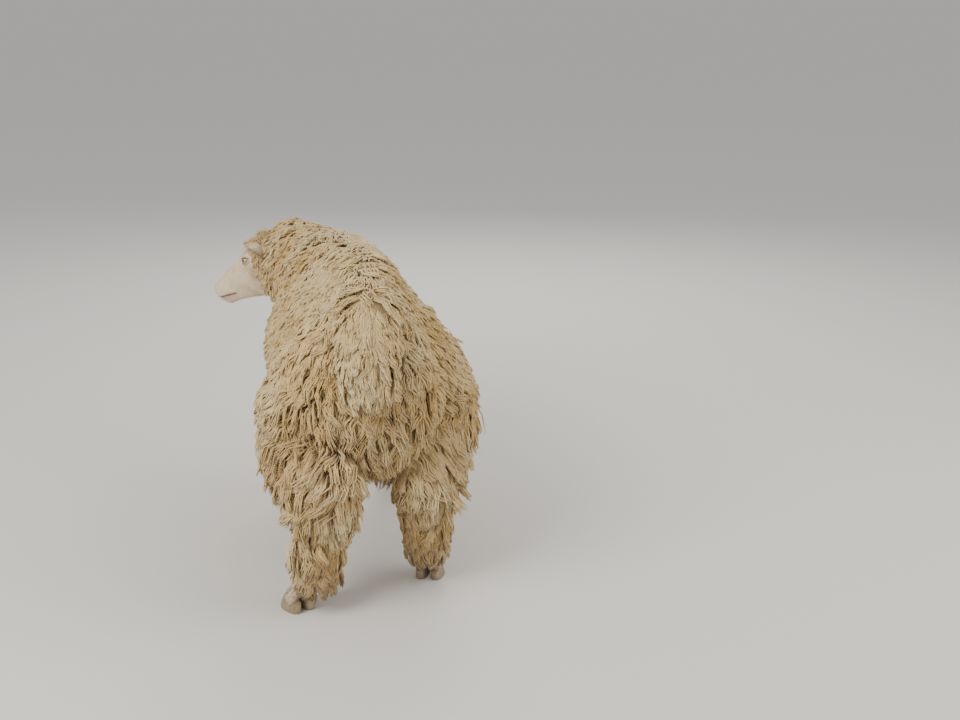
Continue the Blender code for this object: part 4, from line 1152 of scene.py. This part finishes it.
def woolLie(spots, out):  # parts along the spine, falls down both sides and a little back
    off = spots[:, 0] - midline(spots[:, 1])
    off = off + 0.007 * np.sin(spots[:, 1] * 21) + 0.004 * np.sin(spots[:, 1] * 57)  # the parting wanders
    away = np.where(out[:, 2] > 0.1, np.sign(off) * 0.9, 0.0)
    away = away * (0.15 + 0.85 * smooth(np.abs(off), 0.0, 0.040))
    back = -0.30 - 0.35 * smooth(out[:, 2], 0.55, 0.95) * smooth(np.abs(off), 0.035, 0.0)
    back -= 0.9 * smooth(out[:, 2], 0.55, 0.95) * smooth(spots[:, 1], 0.52, 0.68)
    lie = np.stack([away, back, np.full(len(spots), -1.0)], 1)
    lie = lie - out * (lie * out).sum(1, keepdims=True) * 0.95
    return unit(lie)


def growWool(skins, headSkin, material):
    rng = np.random.default_rng(seeds["wool"])
    found = [scatter(skin, count, lambda at, normal: np.ones(len(at)), seeds["roots"] + number)[:2]
             for number, (skin, count) in enumerate(skins)]
    spots, out = (np.vstack(rows) for rows in zip(*found))
    region = regionOf(spots, rng)
    ahead = (spots - headArray[:3, 3]) @ headArray[:3, 1]
    wanted = (spots[:, 2] > 0.062) & (ahead < 0.085)
    near = np.flatnonzero(wanted & (ahead > 0.010))
    wanted[near] = outsideHead(headSkin, spots[near]) > 0.001
    for name, style in woolRegions.items():
        mine = np.flatnonzero((region == name) & wanted)
        if not len(mine):
            continue
        mine = mine[rng.permutation(len(mine))[:style["count"]]]
        roots, normals = spots[mine], out[mine]
        lie = woolLie(roots, normals)
        leader, group = grouped(roots, style["group"], rng)
        jitter = rng.normal(0, 0.12, (len(roots), 3)) + rng.normal(0, 0.30, (len(roots), 3))[leader]
        lie = unit(lie + jitter - normals * (jitter * normals).sum(1, keepdims=True))
        length = style["length"] * rng.uniform(0.78, 1.18, len(roots))
        stand = np.full(len(roots), style["stand"])
        if name.startswith("leg"):
            length *= 0.60 + 0.40 * smooth(roots[:, 2], 0.09, 0.17)
            form, leg = limbs[name[4:]], legs[name[4:]]
            if leg["hind"]:  # longer locks hang from the outside of the thigh
                outer = smooth((roots[:, 0] - leg["knee"][0]) * leg["sign"], 0.0, 0.045)
                outer *= smooth(roots[:, 2], 0.12, 0.17)
                length *= 1 + britch["longer"] * outer
                stand = stand + britch["stand"] * outer
        else:
            form = {"tail": tail, "neck": neck}.get(name, trunk)
        if name == "rump":  # longer locks cover the hollow below the tail
            below = smooth(roots[:, 2], 0.48, 0.41) * smooth(roots[:, 1], 0.03, -0.02)
            length *= 1 + britch["below"] * below
            stand = stand + britch["stand"] * below
        half = style["half"] * rng.uniform(0.8, 1.25, len(roots))
        length = length * 0.7 + length[leader] * 0.3
        shafts, tips = locks(roots, normals, lie, length, half, stand, rng, leader, style["pull"],
                             style["wave"], style["waves"], sag=style["sag"], floor=0.012)
        lockMesh("wool_" + name, shafts, tips, patchOf(form, roots), tones(group, rng), material)
        print("wool", name, len(roots), "locks in", group.max() + 1, "groups")


pollWool = dict(count=3300, group=0.009, length=0.030, half=0.0017, stand=0.58, pull=0.6, wave=0.16,
                waves=1.0)


def growPoll(skin, material):
    def share(spots, normal):
        local = toHead(spots)
        up = smooth(local[:, 2], 0.012, 0.032)
        back = 1 - smooth(local[:, 1] + 0.55 * np.abs(local[:, 0]), 0.062, 0.078)
        return up * back * (np.abs(local[:, 0]) < 0.062) * (local[:, 1] > -0.04)

    roots, out, rng = scatter(skin, pollWool["count"], share, seeds["poll"])
    aside, same = toHead(roots)[:, 0], np.ones(len(roots))
    lie = np.stack([aside * 6, 0.5 * same, -0.5 * same], 1) @ headArray[:3, :3].T
    lie = laid(lie, out, rng, 0.3)
    leader, group = grouped(roots, pollWool["group"], rng)
    lie = unit(lie * 0.6 + lie[leader] * 0.4)
    length = pollWool["length"] * rng.uniform(0.75, 1.2, len(roots))
    half = pollWool["half"] * rng.uniform(0.8, 1.2, len(roots))
    shafts, tips = locks(roots, out, lie, length, half, pollWool["stand"], rng, leader, pollWool["pull"],
                         pollWool["wave"], pollWool["waves"])
    lockMesh("wool_poll", shafts, tips, patchOf(skull, roots), tones(group, rng), material)


faceHair = dict(count=10500, half=0.00060, stand=0.42, eyeClear=0.0185)
earHair = dict(count=3700, half=0.00060, stand=0.40)
legHair = dict(count=1000, half=0.0009, stand=0.38)
hairShape = dict(rings=2, sunk=0.001)


def nearestMarks(skin, roots):
    marks = np.zeros(len(skin.data.vertices) * 3, np.float32)
    skin.data.attributes["face"].data.foreach_get("vector", marks)
    return marks.reshape(-1, 3)[nearestOf(meshSpots(skin) - shift, roots)]


def growFaceHair(skin, material):
    def share(spots, normal):  # thick on the cheeks and the jaw, thinner to the muzzle
        local = toHead(spots)
        under = smooth(-normal @ headArray[:3, 2], 0.1, 0.5)
        thin = np.maximum(1 - smooth(local[:, 1], 0.055, 0.135), 0.45 * under)
        return (1 - earShare(local)) * (local[:, 1] > -0.012) * thin

    roots, out, rng = scatter(skin, faceHair["count"], share, seeds["face"])
    marks = nearestMarks(skin, roots)
    kept = (marks[:, 1] < 0.1) & (marks[:, 0] < 0.1)
    for sign in (-1, 1):
        kept &= np.linalg.norm(toHead(roots) - eyeAxes(sign)[0], axis=1) > faceHair["eyeClear"]
    roots, out, marks = roots[kept], out[kept], marks[kept]
    local = toHead(roots)
    aside = local[:, 0]
    back = np.stack([np.sign(aside) * 0.25, -np.ones(len(roots)), -0.45 - 2 * np.abs(aside)], 1)
    lie = laid(back @ headArray[:3, :3].T, out, rng, 0.10)
    length = 0.0045 + 0.0080 * smooth(-local[:, 1], -0.16, -0.01) + 0.004 * smooth(-local[:, 2], 0.03, 0.07)
    length *= rng.uniform(0.75, 1.25, len(roots))
    half = faceHair["half"] * rng.uniform(0.8, 1.2, len(roots)) * (0.7 + length / 0.02)
    shafts, tips = locks(roots, out, lie, length, half, faceHair["stand"], rng, sag=0.1, flat=0.5,
                         **hairShape)
    lockMesh("hair_face", shafts, tips, patchOf(skull, roots), rng.random(len(roots)), material,
             extra=marks * np.array([0.6, 1, 1]))


def growEarHair(skin, material):
    for sign, side in ((-1, "left"), (1, "right")):
        def share(spots, normal):
            local = toHead(spots)
            return earShare(local) * (local[:, 0] * sign > 0)

        root, outWay, front, up = earAxes(sign)
        roots, out, rng = scatter(skin, earHair["count"] // 2, share, seeds["ear"] + sign)
        marks = nearestMarks(skin, roots)
        along = (roots - root) @ outWay
        high = (roots - root) @ up
        lie = laid(outWay + up * (np.sign(high) * 0.30)[:, None], out, rng, 0.12)
        rim = smooth(np.abs(high), 0.014, 0.026)
        length = (0.006 + 0.004 * rim) * rng.uniform(0.75, 1.3, len(roots))
        half = earHair["half"] * rng.uniform(0.8, 1.2, len(roots))
        shafts, tips = locks(roots, out, lie, length, half, earHair["stand"], rng, sag=0.1, **hairShape)
        patch = np.stack([np.clip(0.5 + high / 0.09, 0.01, 0.99), np.clip(along / 0.13, 0.01, 0.99)], 1)
        patch[:, 0] = patch[:, 0] * 0.49 + 0.5 * ((out @ front) > 0)
        lockMesh("hair_ear_" + side, shafts, tips, patch, rng.random(len(roots)), material,
                 extra=marks * np.array([1, 1, 0.7]))


def growLegHair(material):
    def share(spots, normal):
        return (spots[:, 2] < 0.080) * (spots[:, 2] > 0.026)

    for name, leg in legs.items():
        roots, out, rng = scatter(leg["skin"], legHair["count"], share, seeds["leg"])
        lie = laid(np.tile([0.0, 0.1, -1.0], (len(roots), 1)), out, rng, 0.12)
        length = (0.008 + 0.006 * smooth(roots[:, 2], 0.03, 0.08)) * rng.uniform(0.7, 1.3, len(roots))
        half = legHair["half"] * rng.uniform(0.8, 1.2, len(roots))
        shafts, tips = locks(roots, out, lie, length, half, legHair["stand"], rng, sag=0.2, floor=0.006,
                             **hairShape)
        lockMesh("hair_" + name, shafts, tips, patchOf(limbs[name], roots), rng.random(len(roots)),
                 material, extra=np.zeros((len(roots), 3)))


# Floor, light and camera.

# place, power, size
lamps = dict(key=((-1.8, -2.2, 2.4), 105, 1.8), fill=((2.4, -1.0, 1.5), 34, 2.2),
             rim=((0.6, 2.6, 2.2), 44, 1.6))
studio = dict(target=(0, 0, 0.35), lamp=(1.0, 0.95, 0.87), sky=(0.97, 0.96, 0.95, 1), skyLight=0.62,
              floor=(0.72, 0.71, 0.69, 1), floorSize=300)
view = dict(place=(-0.0011, -2.2725, 1.10), turn=5.0, pitch=15.6, lens=50.0)


def buildStage():
    bm = bmesh.new()
    bmesh.ops.create_grid(bm, x_segments=2, y_segments=2, size=studio["floorSize"])
    mesh = bpy.data.meshes.new("floor")
    bm.to_mesh(mesh)
    bm.free()
    floor = bpy.data.objects.new("floor", mesh)
    bpy.context.scene.collection.objects.link(floor)
    mesh.materials.append(newMaterial("floor_paint", 0.85, more={"Base Color": studio["floor"]})[0])
    world = bpy.data.worlds.new("studio")
    world.use_nodes = True
    sky = world.node_tree.nodes["Background"]
    sky.inputs["Color"].default_value = studio["sky"]
    sky.inputs["Strength"].default_value = studio["skyLight"]
    bpy.context.scene.world = world
    for name, (spot, power, size) in lamps.items():
        light = bpy.data.lights.new(name, "AREA")
        light.energy = power
        light.color = studio["lamp"]
        light.size = size
        lamp = bpy.data.objects.new(name, light)
        lamp.location = spot
        lamp.rotation_euler = (Vector(studio["target"]) - lamp.location).to_track_quat("-Z", "Y").to_euler()
        bpy.context.scene.collection.objects.link(lamp)
    camera = bpy.data.objects.new("camera", bpy.data.cameras.new("camera"))
    camera.data.lens = view["lens"]
    camera.data.sensor_width = 36.0
    camera.location = Vector(view["place"]) + Vector(shift)
    camera.rotation_euler = (math.radians(90 - view["pitch"]), 0, -math.radians(view["turn"]))
    bpy.context.scene.collection.objects.link(camera)
    bpy.context.scene.camera = camera


bodySkin = buildBody()
print("body skin", len(bodySkin.data.polygons), "faces")
hairs = hairMaterial()
buildLowerLegs(faceMaterial())
buildHooves(hornMaterial())
print("lower legs and hooves")
headSkin = buildHead()
buildEyes()
print("head skin", len(headSkin.data.polygons), "faces")
buildUdder()
wool = woolMaterial()
growWool([(bodySkin, 150000)] + [(leg["skin"], 9000) for leg in legs.values()], headSkin, wool)
growPoll(headSkin, wool)
growFaceHair(headSkin, hairs)
growEarHair(headSkin, hairs)
growLegHair(hairs)
print("hair")
buildStage()
